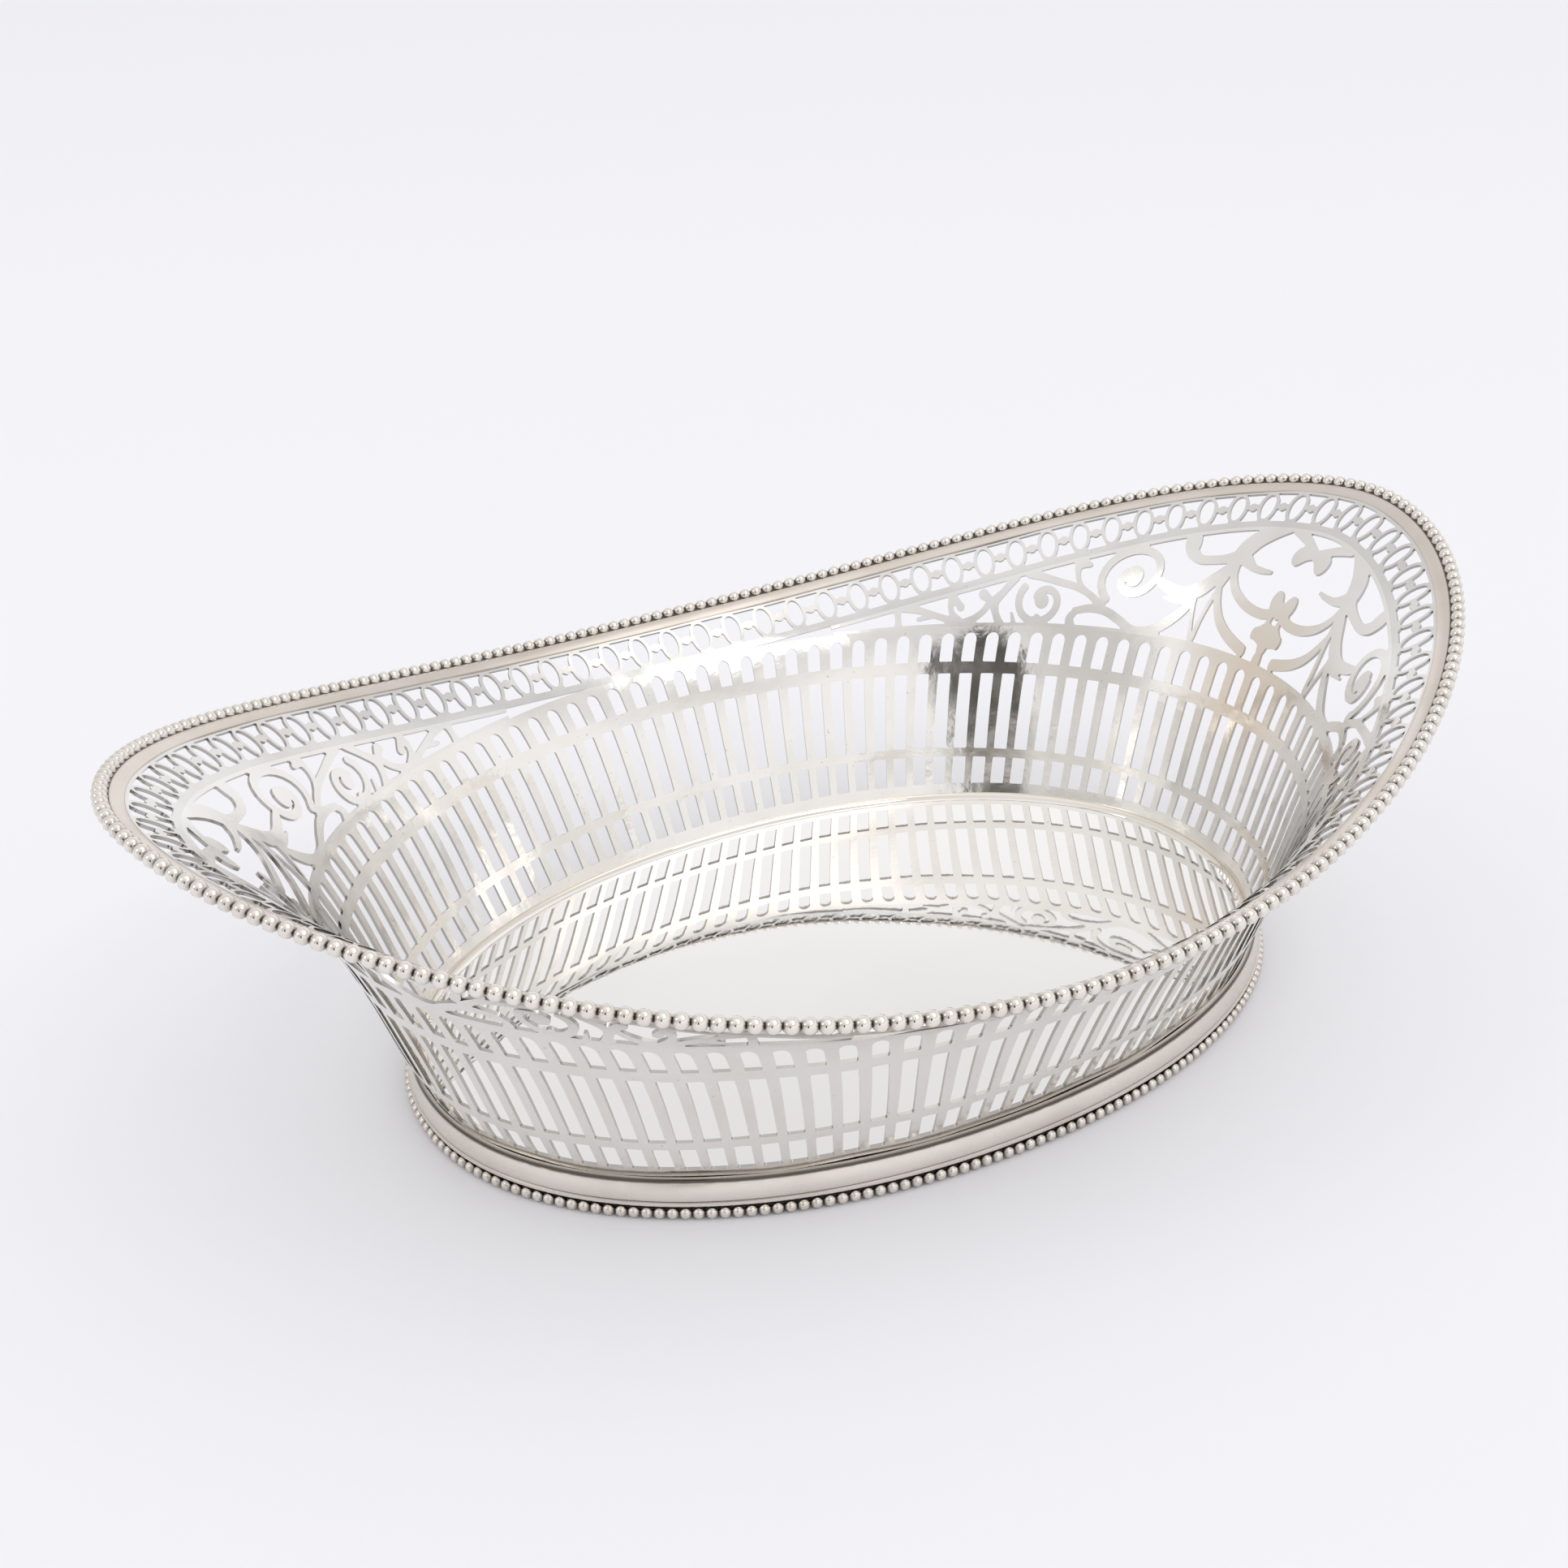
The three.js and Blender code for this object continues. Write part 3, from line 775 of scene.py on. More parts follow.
# The middle of the stain inside the right-hand end.
GOLDEN_STAIN = (0.134, -0.001, 0.053)
FINISHES = {
    Slot.WALL: SilverFinish(
        "wall_finish", (0.88, 0.855, 0.82), (0.82, 0.785, 0.735),
        unevenness=0.2, speck_level=0.3, stain=GOLDEN_STAIN,
    ),
    Slot.BORDER: SilverFinish(
        "border_finish", (0.77, 0.755, 0.735), (0.69, 0.665, 0.635), unevenness=0.1, speck_level=0.2
    ),
    Slot.SCROLLS: SilverFinish(
        "scroll_finish", (0.87, 0.85, 0.825), (0.8, 0.775, 0.74), (0.16, 0.3),
        unevenness=0.13, stain=GOLDEN_STAIN,
    ),
    Slot.RIM: SilverFinish(
        "rim_finish", (0.755, 0.69, 0.63), (0.68, 0.605, 0.535), (0.2, 0.34), dull_share=0.5
    ),
    Slot.WIRE: SilverFinish(
        "wire_finish", (0.85, 0.8, 0.745), (0.75, 0.685, 0.615), shade_colour=(0.075, 0.058, 0.045)
    ),
    Slot.FOOT: SilverFinish(
        "foot_finish", (0.8, 0.745, 0.69), (0.72, 0.66, 0.595), (0.2, 0.34), shade_colour=(0.085, 0.072, 0.06)
    ),
    # On the plate the shade colour is the warmer, darker tone of its edge ridge.
    Slot.PLATE: SilverFinish(
        "plate_finish", (0.96, 0.945, 0.93), (0.93, 0.91, 0.885), (0.01, 0.03),
        patch_scale=14.0, unevenness=0.01, shade_colour=(0.86, 0.79, 0.71),
    ),
}


def dress(piece: bpy.types.Object, slot: Slot, *nodes: str) -> None:
    """Gives a piece its finish and its body, and hides the CAD nodes that it stands for.

    Args:
        piece: The finished piece.
        slot: The record's material slot.
        nodes: The CAD nodes that it replaces.
    """
    finish = FINISHES[slot]
    piece.data.materials.append(bpy.data.materials.get(finish.name) or finish.material())
    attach(piece, "root")
    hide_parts(*nodes)
    LOG.info("%s: %d faces", piece.name, len(piece.data.polygons))


LENGTHS = ("right_end", "back", "left_end", "front")
# How far down the sheet the border ends, and a distance that is farther from any slot than metal goes.
BORDER_BOTTOM = 16.45
FAR = 9.0


def all_lengths(kind: str) -> list[str]:
    """The CAD nodes of one kind, in the four lengths that they are made in."""
    return [f"{kind}_{place}" for place in LENGTHS]


@dataclass
class SlottedWall:
    """The wall: three rows of slots between plain bars, the top row arched, standing on the base plate.

    A row's levels are its bottom and its top, each as heights at the sides and at the ends. Grid lines run at
    shares of half a slot and beyond it of half a bar, and at levels besides those of the rows.
    """

    sheet: Sheet
    chart: RimChart
    columns: int = 108
    slot_width: float = 3.8
    foot_height: float = 9.2
    row_levels: tuple = (
        ((12.5, 12.2), (20.8, 18.6)),
        ((23.2, 21.0), (43.2, 43.4)),
        ((46.4, 46.6), (52.8, 56.3)),
    )
    arch_band: float = 1.7
    corner: float = 0.35
    slot_lines: tuple = (0.0, 0.4, 0.7, 0.82, 0.92, 1.0)
    bar_lines: tuple = (1.5, 2.0)
    arch_lines: tuple = (0.35, 0.65, 0.87)
    band_lines: tuple = (0.35, 0.7, 1.0)
    corner_line: float = 0.4
    plain_lines: tuple = (10.8, 16.6, 28.0, 33.0, 38.0, 49.0)
    rim_samples: int = 1321
    rim_overlap: float = 0.05

    def levels(self) -> Array:
        """Lists the levels from the foot up: the foot, each row's bottom and top, and the arches' spring.

        Returns:
            Heights at the sides and at the ends, a row for each level.
        """
        half = self.slot_width / 2
        bottom, top = self.row_levels[2]
        spring = (top[0] - half, top[1] - half)
        rows = [*self.row_levels[0], *self.row_levels[1], bottom, spring, top]
        return np.array([(self.foot_height, self.foot_height), *rows])

    def height(self, level: Array, share: Array) -> Array:
        """Height of a level, named by its height at the sides, where ends have swept it up by share."""
        side, end = self.levels().T
        return level + (np.interp(level, side, end) - level) * share

    def top_rise(self, turn: Array) -> Array:
        """The rise of the wall's top: a band over the arches, or the border's lower edge if that is lower.

        Args:
            turn: Shares of the way round.

        Returns:
            Rises.
        """
        side, end = self.levels()[-1] + self.arch_band
        share = self.sheet.surface.end_share(turn)
        band = self.sheet.surface.rise_at_height(turn, side + (end - side) * share)
        turns = np.linspace(-self.rim_overlap, 1 + self.rim_overlap, self.rim_samples)
        along = turns * self.sheet.surface.rim.length
        edge_turn, edge_rise = self.chart.locate(along, np.full_like(along, BORDER_BOTTOM))
        return np.minimum(band, np.interp(turn, edge_turn, edge_rise))

    def metal(self, x: Array, level: Array) -> Array:
        """Distance outside the nearest slot: rounded rectangles, the top one with a half-round arch.

        Args:
            x: Distances from the slot's middle line.
            level: Levels, named by their heights at the sides.

        Returns:
            Distances, negative in a slot.
        """
        half = self.slot_width / 2
        nearest = np.full_like(x, FAR)
        for (bottom, _), (top, _) in self.row_levels[:2]:
            over_x = np.abs(x) - (half - self.corner)
            over_y = np.abs(level - (bottom + top) / 2) - ((top - bottom) / 2 - self.corner)
            outside = np.hypot(np.maximum(over_x, 0), np.maximum(over_y, 0))
            nearest = np.minimum(nearest, outside + np.minimum(np.maximum(over_x, over_y), 0) - self.corner)
        (bottom, _), (top, _) = self.row_levels[2]
        arch = np.hypot(x, np.maximum(level - (top - half), 0)) - half
        return np.minimum(nearest, np.maximum(arch, bottom - level))

    def build(self) -> None:
        """Makes the wall on a grid whose lines run along the slots' edges."""
        half = self.slot_width / 2
        in_slot, in_bar = np.array(self.slot_lines), np.array(self.bar_lines)
        across = np.concatenate([-in_bar[::-1], -in_slot[::-1], in_slot[1:], in_bar[:-1]])
        flat = self.levels()[:, 0]
        arch = flat[-2] + (flat[-1] - flat[-2]) * np.array(self.arch_lines)
        corners = flat[1:6] + self.corner_line * np.array([1, -1, 1, -1, 1])
        between = [(flat[2] + flat[3]) / 2, (flat[4] + flat[5]) / 2, *self.plain_lines]
        level = np.unique(np.round(np.concatenate([flat, arch, corners, between]), 6))
        band = np.array(self.band_lines)

        surface = self.sheet.surface
        centre = ((np.arange(self.columns) + 0.5) / self.columns)[:, None]
        middle_rise = surface.rise_at_height(centre, self.height(level[None], surface.end_share(centre)))
        pace = np.linalg.norm(surface.slopes(centre + 0 * middle_rise, middle_rise)[0], axis=-1)
        pace = np.concatenate([pace, np.repeat(pace[:, -1:], len(band), axis=1)], axis=1)
        reach = pace / self.columns / 2
        line, side = np.abs(across)[None, :, None], np.sign(across)[None, :, None]
        bar = side * (half + (line - 1) * (reach[:, None] - half))
        x = np.where(line > 1, bar, across[None, :, None] * half)
        turn = centre[:, None] + x / pace[:, None]
        turn = np.concatenate([turn.reshape(-1, turn.shape[-1]), np.ones((1, turn.shape[-1]))])
        x = np.concatenate([x.reshape(-1, x.shape[-1]), reach[-1:]])
        rows = len(level)
        share = surface.end_share(turn[:, :rows])
        rise = surface.rise_at_height(turn[:, :rows], self.height(level[None], share))
        crest = self.top_rise(turn[:, rows - 1])[:, None]
        rise = np.concatenate([rise, rise[:, -1:] + (crest - rise[:, -1:]) * band], axis=1)
        y = np.concatenate([level, level[-1] + self.arch_band * band])[None] + 0 * x
        cut, _, _ = cut_grid(x, y, self.metal)
        piece = self.sheet.solid("slotted_wall", cut.carry(turn), cut.carry(rise), cut.triangles, ring=True)
        dress(piece, Slot.WALL, *all_lengths("wall"))


@dataclass
class RingBorder:
    """The border under the rim: upright oval rings joined by short links with a bead in their middle."""

    sheet: Sheet
    chart: RimChart
    rings: int = 90
    top: float = 3.9
    upper_band: float = 4.7
    lower_band: float = 14.5
    middle: float = 9.5
    ring_half: tuple[float, float] = (2.75, 4.75)
    ring_line: float = 1.0
    link_half: float = 0.75
    link_bead: float = 1.35
    columns: int = 20
    rows: int = 25
    slide: float = 0.15

    def metal(self, along: Array, down: Array) -> Array:
        """Distance inside the metal: the union of bands, rings and links, less the rings' holes.

        Args:
            along: Distances along the rim.
            down: Distances down the sheet.

        Returns:
            Distances inside, negative in a hole.
        """
        pitch = self.chart.surface.rim.length / self.rings
        x = np.mod(along + pitch / 2, pitch) - pitch / 2
        y = down - self.middle
        a, b = self.ring_half
        reach = np.maximum(np.hypot(x / a, y / b), SAME)
        steep = np.maximum(np.hypot(x / a**2, y / b**2) / reach, SAME)
        outside = (reach - 1) / steep
        half = self.ring_line / 2
        ring = half - np.abs(outside)
        bead = self.link_bead - np.hypot(np.abs(x) - pitch / 2, y)
        link = np.maximum(self.link_half - np.abs(y), bead)
        link = np.minimum(link, outside + half)
        bands = np.maximum(self.upper_band - down, down - self.lower_band)
        return np.maximum(np.maximum(ring, link), bands)

    def build(self) -> None:
        """Makes the border on an even grid of about half a millimetre."""
        along = np.linspace(0, self.chart.surface.rim.length, self.rings * self.columns + 1)
        down = np.linspace(BORDER_BOTTOM, self.top, self.rows)
        x, y = np.meshgrid(along, -down, indexing="ij")
        cut, x, y = cut_grid(x, y, lambda s, up: self.metal(s, -up), self.slide)
        turn, rise = self.chart.locate(cut.carry(x), -cut.carry(y))
        piece = self.sheet.solid("ring_border", turn, rise, cut.triangles, ring=True)
        dress(piece, Slot.BORDER, *all_lengths("border"))


def smooth_path(stations: Array, step: float) -> Array:
    """A centripetal Catmull-Rom curve through stations, at even shares of each span.

    Args:
        stations: Points, one in each row.
        step: The longest distance between points.

    Returns:
        Points on the curve.
    """
    stations = np.asarray(stations, dtype=float)
    padded = np.concatenate([[2 * stations[0] - stations[1]], stations, [2 * stations[-1] - stations[-2]]])
    knots = np.sqrt(np.linalg.norm(np.diff(padded, axis=0), axis=1))[:, None]
    before, at, after, beyond = padded[:-3], padded[1:-2], padded[2:-1], padded[3:]
    k0, k1, k2 = knots[:-2], knots[1:-1], knots[2:]
    leave = ((at - before) / k0 - (after - before) / (k0 + k1) + (after - at) / k1) * k1
    arrive = ((after - at) / k1 - (beyond - at) / (k1 + k2) + (beyond - after) / k2) * k1
    count = int(np.ceil(np.linalg.norm(after - at, axis=1).max() / step))
    t = (np.arange(count) / count)[None, :, None]
    at, after, leave, arrive = (values[:, None] for values in (at, after, leave, arrive))
    curve = (
        (2 * t**3 - 3 * t**2 + 1) * at
        + (t**3 - 2 * t**2 + t) * leave
        + (3 * t**2 - 2 * t**3) * after
        + (t**3 - t**2) * arrive
    )
    return np.concatenate([curve.reshape(-1, stations.shape[1]), stations[-1:]])


@dataclass(frozen=True)
class Volute:
    """A spiral that winds in to a round head."""

    centre: tuple[float, float]
    radii: tuple[float, float]
    start: float
    turns: float
    width: float
    head: float
    squash: float
    closing: float = 1.5
    steps: int = 24

    def stations(self) -> Array:
        """Centre plus a radius that shrinks with a power of the share of the way, turned evenly and squashed.

        Returns:
            Places and widths along the spiral.
        """
        share = np.linspace(0, 1, int(abs(self.turns) * self.steps) + 2)
        radius = self.radii[0] + (self.radii[1] - self.radii[0]) * share**self.closing
        angle = np.radians(self.start) + 2 * np.pi * self.turns * share
        x = self.centre[0] + radius * np.cos(angle)
        y = self.centre[1] + radius * np.sin(angle) * self.squash
        return np.stack([x, y, np.full_like(x, self.width)], 1)


@dataclass
class ScrollPanel:
    """The pierced scrollwork of one end, in the crescent between the border and the arches.

    A stroke runs through stations of place along the rim from the end's middle, distance down, and width.
    The left half mirrors the right.
    """

    sheet: Sheet
    chart: RimChart
    wall: SlottedWall
    side: str
    middle: float
    crescent_half: float = 172.0
    frame: float = 17.5
    lower_frame: float = 0.9
    spacing: float = 0.5
    path_step: float = 0.6
    margin: float = 2.0
    slide: float = 0.14
    strokes: dict = field(default_factory=lambda: {
        "arm": [(14.5, 17, 3.4), (9.4, 19.2, 3.1), (4.6, 21.4, 2.6), (0, 23.2, 2.2)],
        "lobe": [(0, 23.4, 3), (3.4, 24.2, 3.6), (6, 24.7, 5.4), (7.2, 25, 6.2)],
        "shoulder": [
            (17, 16.8, 2), (22.5, 18.6, 3.6), (28, 20.6, 6), (31.6, 23.6, 6.8), (34, 27, 5.6),
            (35, 30, 3.4),
        ],
        "inward_tip": [(31, 26.4, 4.4), (26, 29.4, 2.4), (21, 30.6, 1.8), (16.8, 30.9, 1.2)],
        "hook": [
            (33, 25.6, 4.4), (38.5, 26.2, 3), (44, 26, 2.6), (49.2, 25, 2.9), (52.4, 22.2, 4.2),
            (52.7, 19.4, 5.6), (52.4, 16.6, 4.6),
        ],
        "inner_arc": [
            (33.6, 28.8, 3.2), (33, 32, 2.8), (30.4, 36, 2.8), (25.6, 39.4, 2.9), (19, 42, 3),
            (11.4, 43.2, 3), (4, 42.6, 3),
        ],
        "outer_arc": [
            (35.6, 28, 3), (38.2, 33, 2.7), (37.4, 38.6, 2.9), (34.2, 44.2, 3.1), (29, 48.4, 3.2),
            (22.4, 51.6, 3.3), (14, 54.4, 3.4),
        ],
        "upper_flower": [(0, 41.6, 5), (2.8, 40.6, 5), (4.9, 39.4, 6.2), (5.6, 39, 6.4)],
        "flower_neck": [(4.4, 40.5, 3.6), (4.2, 43.5, 2.5), (4.8, 46.5, 3)],
        "lower_flower": [(0, 49.2, 6.4), (4, 48.6, 6.6), (8, 48.8, 4.4), (10.6, 48.9, 3.6)],
        "flower_foot": [(0, 50.5, 9), (0, 53.8, 4.6), (0, 57, 8)],
        "blade": [
            (35.4, 28.6, 2.8), (39.5, 31.4, 4.2), (46, 34.4, 4.8), (53.4, 34.8, 3.8),
            (60.6, 31.4, 3), (64, 29, 2),
        ],
        "blade_tip": [(49.6, 37.6, 2.2), (55, 36.9, 1.5), (60.5, 34.8, 0.8)],
        "inner_blade": [(35.4, 31, 2.2), (39.4, 37, 1.8), (43, 43, 1.8), (45.4, 48.5, 2.2)],
        "blade_stem": [(48.2, 38.2, 2), (47.6, 43, 1.5), (46.8, 48.5, 1.8)],
        "low_leaf": [
            (48.2, 37.6, 2.4), (52.4, 40.2, 3.1), (59.6, 42.8, 3.4), (66.8, 43.6, 3),
            (73.4, 41.6, 2.6), (78, 38, 2.6), (83, 34.4, 2.6), (88.4, 32.4, 2.4), (93.8, 31.9, 2),
        ],
        "low_leaf_curl": [(93.8, 32.2, 2), (95.8, 33.8, 2.6), (95.2, 37.6, 3.4)],
        "vine": [
            (84.4, 32.6, 2.6), (88.8, 28, 2.1), (93, 24.9, 2.1), (98, 22.3, 2.1), (103, 19.6, 2.3),
            (107.4, 17.2, 2.8),
        ],
        "border_hook": [(90.2, 16.8, 4.6), (91.9, 20.2, 1.9), (91.6, 24, 1.5), (88.2, 28.6, 1.6)],
        "border_hook_tip": [(90, 18.2, 3.4), (87.7, 19.4, 1.4)],
        "curl_foot": [(107, 31, 2.6), (107, 37, 3.4)],
        "trunk": [
            (112, 17.2, 2.6), (116.4, 20.4, 2.2), (120, 23, 2.9), (120.2, 26.2, 2.3), (119, 31, 3),
        ],
        "trunk_leaf": [
            (131.6, 26.6, 3), (127, 25.7, 2.1), (123.2, 23.9, 1.9), (121.6, 21.8, 2.2),
            (123, 19.6, 3.1),
        ],
        "bract": [(114.8, 31.5, 1.8), (115, 27.4, 0.9)],
        "sprig": [(132, 16.8, 2.6), (133.7, 19.6, 1.9), (134, 22.4, 1.9), (131.8, 26.8, 3.6)],
        "sprig_bud": [(132, 18.6, 1.8), (130.9, 21.4, 2.5)],
        "tip_leaf": [
            (148.4, 16.8, 3), (144, 19, 2.1), (139.8, 21.5, 1.9), (135, 24.4, 2.1),
            (131.8, 26.6, 3),
        ],
        "tip_leaf_barb": [(140.6, 21.6, 1.7), (144.8, 21.6, 1.2)],
        "post": [(150.4, 16.8, 2.6), (151, 20, 1.9), (151.6, 23, 2.8)],
    })
    volutes: tuple = (
        Volute((72.6, 26.2), (12.0, 3.4), 32.0, -1.2, 2.5, 3.1, squash=0.74),
        Volute((104.7, 26.3), (8.0, 2.3), -52.0, 1.0, 2.3, 2.3, squash=0.86),
    )

    def scrollwork(self, along: Array, down: Array) -> Array:
        """Distance inside the strokes: for each place, the largest of width less distance over all of them.

        Args:
            along: Distances along the rim from the end's middle.
            down: Distances down the sheet.

        Returns:
            Distances inside, negative outside.
        """
        place = np.stack([np.abs(along), down], 1)
        inside = np.full(len(place), -self.margin)
        paths = [smooth_path(stations, self.path_step) for stations in self.strokes.values()]
        paths += [volute.stations() for volute in self.volutes]
        for path in paths:
            low = path[:, :2].min(0) - path[:, 2].max() / 2 - self.margin
            high = path[:, :2].max(0) + path[:, 2].max() / 2 + self.margin
            near = np.flatnonzero(np.all((place > low) & (place < high), axis=1))
            start, span = path[:-1], np.diff(path, axis=0)
            reach = place[near, None] - start[None, :, :2]
            length = np.sum(span[:, :2] ** 2, 1)
            share = np.clip(np.sum(reach * span[None, :, :2], -1) / length, 0, 1)
            away = np.linalg.norm(reach - share[..., None] * span[None, :, :2], axis=-1)
            half = (start[None, :, 2] + share * span[None, :, 2]) / 2
            inside[near] = np.maximum(inside[near], (half - away).max(1))
        for volute in self.volutes:
            head = volute.head - np.hypot(place[:, 0] - volute.centre[0], place[:, 1] - volute.centre[1])
            inside = np.maximum(inside, head)
        return inside

    def build(self) -> None:
        """Makes the panel on an even grid, cut off where the wall's top band begins."""
        start = self.middle * self.sheet.surface.rim.length
        along = np.arange(-self.crescent_half, self.crescent_half + 0.1, self.spacing)
        floor = self.chart.down_to(start + along, self.wall.top_rise)
        down = np.arange(BORDER_BOTTOM, floor.max() + self.spacing, self.spacing)[::-1]
        slant = 1 / np.hypot(1, np.gradient(floor, along))

        def metal(x: Array, up: Array) -> Array:
            """Inside the crescent, and in the frame or the scrollwork.

            Args:
                x: Distances along the rim from the end's middle.
                up: Distances up the sheet, negative.

            Returns:
                Distances inside, negative outside.
            """
            lower = (np.interp(x, along, floor) + up) * np.interp(x, along, slant)
            pattern = np.maximum(self.scrollwork(x, -up), self.frame + up)
            return np.minimum(np.maximum(pattern, self.lower_frame - lower), lower)

        x, y = np.meshgrid(along, -down, indexing="ij")
        cut, x, y = cut_grid(x, y, metal, self.slide)
        turn, rise = self.chart.locate(start + cut.carry(x), -cut.carry(y))
        piece = self.sheet.solid(f"pierced_scroll_{self.side}", turn, rise, cut.triangles, ring=False)
        dress(piece, Slot.SCROLLS, f"scroll_panel_{self.side}")


@dataclass
class BeadedWire:
    """A wire swaged into a row of round beads, all round the rim or the foot."""

    name: str
    slot: Slot
    nodes: str
    place: Callable[[Array], Place]
    length: float
    beads: int
    radius: float
    neck: float = 0.36
    gap_shade: tuple[float, float] = (1.05, 1.75)
    groove_shade: float = 0.1
    groove_span: tuple[float, float] = (1.6, 0.35)
    stations: int = 6
    sides: int = 10
    crease: float = 48.0

    def build(self) -> None:
        """Carries a circle round the path, as wide as a ball about each bead's middle, or as the neck.

        The shade is painted shade, high in the necks and a little raised on the wire's underside, and it also
        stands for tarnish there.
        """
        pitch = self.length / self.beads
        lean = np.arcsin(pitch / 2 / self.radius)
        angle = (np.arange(self.stations) / self.stations * 2 - 1) * lean
        offset = self.radius * np.sin(angle)
        radius = np.maximum(self.radius * np.cos(angle), self.neck * self.radius)
        along = ((np.arange(self.beads)[:, None] + 0.5) * pitch + offset).ravel()
        place = self.place(along)
        around = np.arange(self.sides) / self.sides * 2 * np.pi
        circle = np.stack([np.cos(around), np.sin(around)], -1)
        section = np.tile(radius, self.beads)[:, None, None] * circle
        piece = swept_ring(self.name, place, section, self.crease)
        rise = (radius / self.radius - self.neck) / (1 - self.neck)
        # Painted shade, which also stands for tarnish: dark in the necks between beads, a little on the underside.
        gap = np.clip(self.gap_shade[0] - self.gap_shade[1] * rise, 0, 1)
        under = np.clip(-self.groove_span[0] * np.sin(around) - self.groove_span[1], 0, 1)
        groove = self.groove_shade * under
        shade = np.maximum(gap[:, None], groove[None])
        store_shade(piece, Domain.CORNER_POINTS, np.tile(shade.ravel(), self.beads))
        dress(piece, self.slot, *all_lengths(self.nodes))


@dataclass
class Band:
    """A plain band round the basket, of one section all the way."""

    name: str
    slot: Slot
    nodes: str
    place: Callable[[Array], Place]
    length: float
    profile: tuple
    stations: int = 720
    crease: float = 30.0

    def build(self) -> None:
        """Carries the profile, rows of outward and upward distance and shade, all round."""
        place = self.place(np.arange(self.stations) / self.stations * self.length)
        profile = np.array(self.profile, dtype=float)
        section = np.tile(profile[:, :2], (self.stations, 1, 1))
        piece = swept_ring(self.name, place, section, self.crease)
        # Painted shade from the profile's third column.
        store_shade(piece, Domain.CORNER_POINTS, np.tile(profile[:, 2], self.stations))
        dress(piece, self.slot, *all_lengths(self.nodes))


@dataclass
class BasePlate:
    """The flat plate inside the foot: polished, so that it mirrors the wall, with a low ridge at its edge."""

    oval: Oval
    top: float = 8.9
    thickness: float = 1.0
    rings: int = 24
    stations: int = 360
    ripple: float = 0.012
    ripple_lengths: tuple = (9.0, 13.0, 7.0, 21.0)
    ripple_calm: int = 6
    ridge: float = 1.25
    ridge_start: float = 0.975
    ridge_wave: float = 0.8
    ridge_rows: int = 9
    ridge_shade: float = 4.0

    def build(self) -> None:
        """Shrinks the oval by shares to its middle, on the top and again on the underside.

        The ridge is the first part of a sine's hump, and two sine waves of the place ripple the middle.
        """
        turn = np.arange(self.stations) / self.stations
        inner = np.linspace(1 / self.rings, self.ridge_start, self.rings, endpoint=False)
        share = np.append(inner, np.linspace(self.ridge_start, 1, self.ridge_rows))
        roll = np.clip((share - self.ridge_start) / (1 - self.ridge_start), 0, 1)
        flat = self.oval.around(turn)[None, :, :2] * share[:, None, None]
        x, y = flat[..., 0], flat[..., 1]
        a, b, c, d = self.ripple_lengths
        ripple = self.ripple * (np.sin(x / a + np.sin(y / b)) + np.sin(y / c + x / d))
        ripple = ripple * (1 - share[:, None] ** self.ripple_calm)
        ridge = self.ridge * np.sin(self.ridge_wave * np.pi * roll)[:, None]
        upper = np.concatenate([flat, (self.top + (ripple + ridge))[..., None]], -1).reshape(-1, 3)
        lower = upper - [0, 0, self.thickness]
        points = np.concatenate([upper, lower, [[0, 0, self.top], [0, 0, self.top - self.thickness]]])
        count, last = len(upper), len(share) - 1
        j = np.arange(self.stations)
        following = (j + 1) % self.stations
        i = np.arange(last)[:, None] * self.stations
        quads = np.stack([i + j, i + self.stations + j, i + self.stations + following, i + following], -1)
        quads = quads.reshape(-1, 4)
        edge = last * self.stations
        side = np.stack([edge + j, edge + j + count, edge + following + count, edge + following], -1)
        cap = np.stack([0 * j + 2 * count, j, following], -1)
        under = np.stack([0 * j + 2 * count + 1, following + count, j + count], -1)
        piece = mesh_object("base_plate_mirror", points, [quads, quads[:, ::-1] + count, side, cap, under])
        warm = np.repeat(np.clip(self.ridge_shade * roll, 0, 1), self.stations)
        store_shade(piece, Domain.CORNER_POINTS, np.concatenate([warm, warm, [0, 0]]))
        dress(piece, Slot.PLATE, "base_plate")


@dataclass(frozen=True)
class Camera:
    """The photograph's view: its place, its directions and its lens."""

    eye: tuple[float, float, float] = (-213.885, -387.210, 279.387)
    right: tuple[float, float, float] = (0.877349, -0.477268, -0.049733)
    up: tuple[float, float, float] = (0.251869, 0.369813, 0.894316)
    lens: float = 45.752
    sensor: float = 36.0
    nearest: float = 0.01

    def build(self) -> None:
        """Makes the camera the scene's own."""
        made = bpy.data.objects.new("camera", bpy.data.cameras.new("camera"))
        made.data.lens = self.lens
        made.data.sensor_width = self.sensor
        made.data.clip_start = self.nearest
        right, up = Vector(self.right), Vector(self.up)
        axes = Matrix((right, up, right.cross(up))).transposed().to_4x4()
        made.matrix_world = Matrix.Translation(Vector(self.eye) * MM) @ axes
        bpy.context.scene.collection.objects.link(made)
        bpy.context.scene.camera = made


@dataclass(frozen=True)
class Direction:
    """A way seen from the basket, by its angles in degrees: round from +X, and above the table."""

    azimuth: float
    elevation: float

    def vector(self) -> Vector:
        """The direction as a vector one long."""
        a, e = np.radians(self.azimuth), np.radians(self.elevation)
        return Vector((np.cos(e) * np.cos(a), np.cos(e) * np.sin(a), np.sin(e)))


